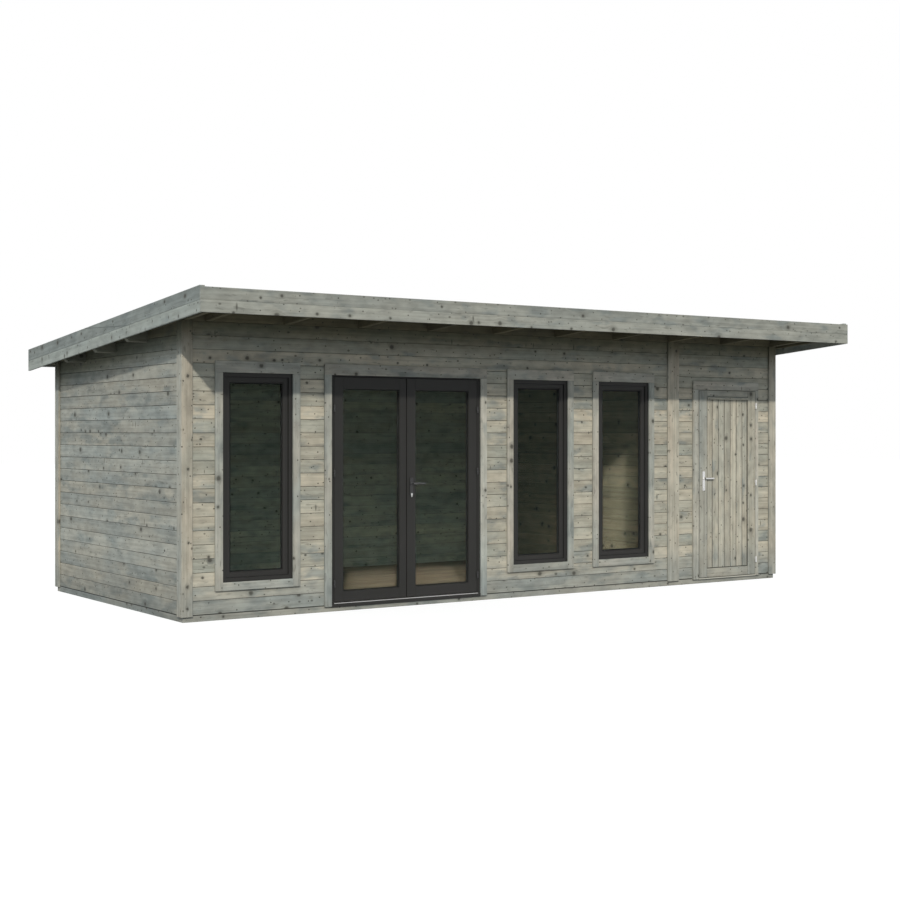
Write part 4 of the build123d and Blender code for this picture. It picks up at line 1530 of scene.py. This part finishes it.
def lock_cylinder(x, z, face_y, outward):
    tip = face_y + outward * lock_length
    lock_y = sorted((face_y, tip))
    foot = z - lock_tail_drop
    tail_half = lock_tail_width / 2
    lock = plug(x, z, lock_y, lock_radius)
    tail = start_cube("tail", (x - tail_half, lock_y[0], foot), (x + tail_half, lock_y[1], z))
    combine(lock, [tail, plug(x, foot, lock_y, tail_half)])
    slot_y = sorted((tip - outward * slot_depth, tip + outward * slot_depth))
    slot = start_cube("cutter", (x - slot_width / 2, slot_y[0], z - slot_height / 2),
                      (x + slot_width / 2, slot_y[1], z + slot_height / 2))
    cut_away(lock, [slot])
    return lock


print("backplates: corners of", plate_corner * 1000, "mm")

# %% [markdown]
# ## Handle sets
# Each set has a plate, a lever and a lock on both sides of its leaf. The outer and the inner side mirror
# each other, so one loop makes both, and only the direction outwards changes. The levers ride on their
# own body, so that they turn.

# %% Handle sets
lock_below_lever = 0.092
tip_margin = 0.003


def handle_set(leaf, lever_body, finish, grip_finish, slot):
    axis = joint_places[lever_body + "_turn"]
    lever_low, lever_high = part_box(leaf + "_lever")
    leaf_low, leaf_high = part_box(leaf + "_frame")
    plates, levers, locks = [], [], []
    for low, high in solids_of(leaf + "_lock_plates"):
        outward = -1 if high.y < (leaf_low.y + leaf_high.y) / 2 else 1
        face = leaf_low.y if outward < 0 else leaf_high.y
        rim = low.y if outward < 0 else high.y
        plate_face = rim - outward * lock_length
        plate_y = sorted((face, plate_face))
        plates.append(backplate((low.x, plate_y[0], low.z), (high.x, plate_y[1], high.z)))
        grip_y = (lever_low.y + bar_radius) if outward < 0 else (lever_high.y - bar_radius)
        levers.append(lever_side(axis, plate_face, grip_y, lever_high.x - tip_margin, outward))
        locks.append(lock_cylinder(axis.x, axis.z - lock_below_lever, plate_face, outward))
    finished(joined(leaf + "_backplates", plates), finish, leaf, slot, leaf + "_lock_plates")
    finished(joined(leaf + "_lock_cylinders", locks), bright_metal, leaf, "bright_metal")
    finished(joined(leaf + "_grips", levers), grip_finish, lever_body, slot, leaf + "_lever")


# The grips of the double door get the lighter grey metal, a painted sheen.
handle_set("right_leaf", "right_lever", dark_metal, sheen_grey_metal, "dark_metal")
handle_set("store_leaf", "store_lever", bright_metal, bright_metal, "bright_metal")

# %% [markdown]
# ## Roof timbers
# Rafters run from front to back over the walls, on purlins that pass through the side walls and show
# under the eaves with chamfered ends. Short blocks close the gaps between the rafters over the walls.
# They are all sawn boards, so the helper for boards makes them, and only the purlins get a shape of
# their own.

# %% Roof timbers
purlin_chamfer = 0.03

for name, node in (("roof_rafters", "rafters"), ("rafter_blocks", "eave_blocking")):
    finished(boards_of(name, node, "pitched"), brown_and_shade_timber, "building", "roof_timber", node)

beams = []
for low, high in solids_of("purlins"):
    beam = start_pitched("purlin", low, high)
    middle_z = (low.z + high.z) / 2
    chamfer(beam, lambda edge: abs(edge.verts[0].co.x - edge.verts[1].co.x) < same_place
            and all(vertex.co.z < middle_z for vertex in edge.verts), purlin_chamfer)
    ease_edges(beam, eased_edge)
    lay_grain(beam, 0, pitched=True)
    beams.append(beam)
finished(joined("roof_purlins", beams), purlin_timber, "building", "roof_timber", "purlins")

# %% [markdown]
# ## Roof boards
# Boards with V joints lie across the rafters and show from below. One board is made at the front edge
# and repeated down the slope, each step lower by the fall of the roof.

# %% Roof boards
roof_board_count = 41
roof_chamfer = 0.003
board_length = deck_high.y - deck_low.y
roof_pitch = board_length / roof_board_count
deck_thickness = (deck_high.z - deck_low.z) - roof_fall * board_length
first_low = (deck_low.x, deck_low.y, deck_high.z - deck_thickness - roof_fall * roof_pitch)
first_high = (deck_high.x, deck_low.y + roof_pitch - joint_gap / 4, deck_high.z)
roof_boards = start_pitched("roof_boards", first_low, first_high)
chamfer(roof_boards, lambda edge: runs_along(edge, 0)
        and edge.verts[0].co.z < deck_high.z - deck_thickness / 2, roof_chamfer)
repeated(roof_boards, roof_board_count, (0, roof_pitch, -roof_fall * roof_pitch))
lay_grain(roof_boards, 0, pitched=True, courses=(1, roof_pitch))
finished(roof_boards, brown_and_shade_timber, "building", "roof_timber", "roof_deck")

# %% [markdown]
# ## Felt
# Strips of felt lie on the boards along the house, each lapped by the one above, so that water runs over
# the laps. A single sheet would hide the laps, which are what shows from above, so each row is a strip
# whose far edge is lifted onto the next.

# %% Felt
felt_rows = 5
felt_lap = 0.08
lap_lift_share = 0.9
felt_low, felt_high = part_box("roof_felt")
felt_run = felt_high.y - felt_low.y
felt_thickness = (felt_high.z - felt_low.z) - roof_fall * felt_run
row_run = felt_run / felt_rows
strips = []
for row in range(felt_rows):
    lapped = row < felt_rows - 1
    near = felt_low.y + row * row_run
    far = near + row_run + (felt_lap if lapped else 0)
    top = felt_high.z - roof_fall * (near - felt_low.y)
    strip = start_pitched("felt_row", (felt_low.x, near, top - felt_thickness - roof_fall * (far - near)),
                          (felt_high.x, far, top))
    if lapped:
        move_points(strip, lambda point: point.co.y > far - same_place,
                    (0, 0, felt_thickness * lap_lift_share))
    ease_edges(strip, felt_thickness / 4, 1)
    strips.append(strip)
finished(joined("felt_rows", strips), roof_felt, "building", "roof_felt", "roof_felt")

# %% [markdown]
# ## Fascias and kerbs
# Two boards, one over the other, close the roof's front and sides, one closes the back, and a square
# kerb along each side keeps water on the felt. The upper board of a side is too long for one length of
# timber, so two lengths meet in a slanting scarf joint. It is cut as a thin groove, since only its line
# shows. Upper and lower boards have weathered differently, so they are pieces of their own.

# %% Fascias and kerbs
scarf_low_y, scarf_high_y = -0.52, 0.5
scarf_gap = 0.003
scarf_depth = 0.006

for name, node, shape in (("front_fascia_boards", "front_fascia", "square"),
                          ("rear_fascia_board", "rear_fascia", "pitched"),
                          ("side_kerbs", "roof_kerbs", "pitched")):
    finished(boards_of(name, node, shape), roof_timber, "building", "roof_timber", node)

side_boxes = solids_of("side_fascias")
roof_top = max(high.z for low, high in side_boxes)
upper_boxes = [box for box in side_boxes if box[1].z > roof_top - same_place]
lower_boxes = [box for box in side_boxes if box not in upper_boxes]
upper_fascias = joined("upper_side_fascias", [board("fascia", *box, 1, "pitched") for box in upper_boxes])
lower_fascias = joined("lower_side_fascias", [board("fascia", *box, 1, "pitched") for box in lower_boxes])
scarfs = []
for low, high in upper_boxes:
    board_height = high.z - low.z - roof_fall * (high.y - low.y)
    foot_z = high.z - roof_fall * (scarf_low_y - low.y) - board_height
    head_z = high.z - roof_fall * (scarf_high_y - low.y)
    cut_x = (high.x - scarf_depth, high.x + cut_margin)
    if low.x < 0:
        cut_x = (low.x - cut_margin, low.x + scarf_depth)
    scarf = start_cube("cutter", (cut_x[0], scarf_low_y, foot_z),
                       (cut_x[1], scarf_high_y, foot_z + scarf_gap))
    move_points(scarf, lambda point: point.co.y > scarf_high_y - same_place, (0, 0, head_z - foot_z))
    scarfs.append(scarf)
cut_away(upper_fascias, scarfs)
finished(upper_fascias, upper_fascia_timber, "building", "roof_timber", "side_fascias")
finished(lower_fascias, lower_fascia_timber, "building", "roof_timber", "side_fascias")
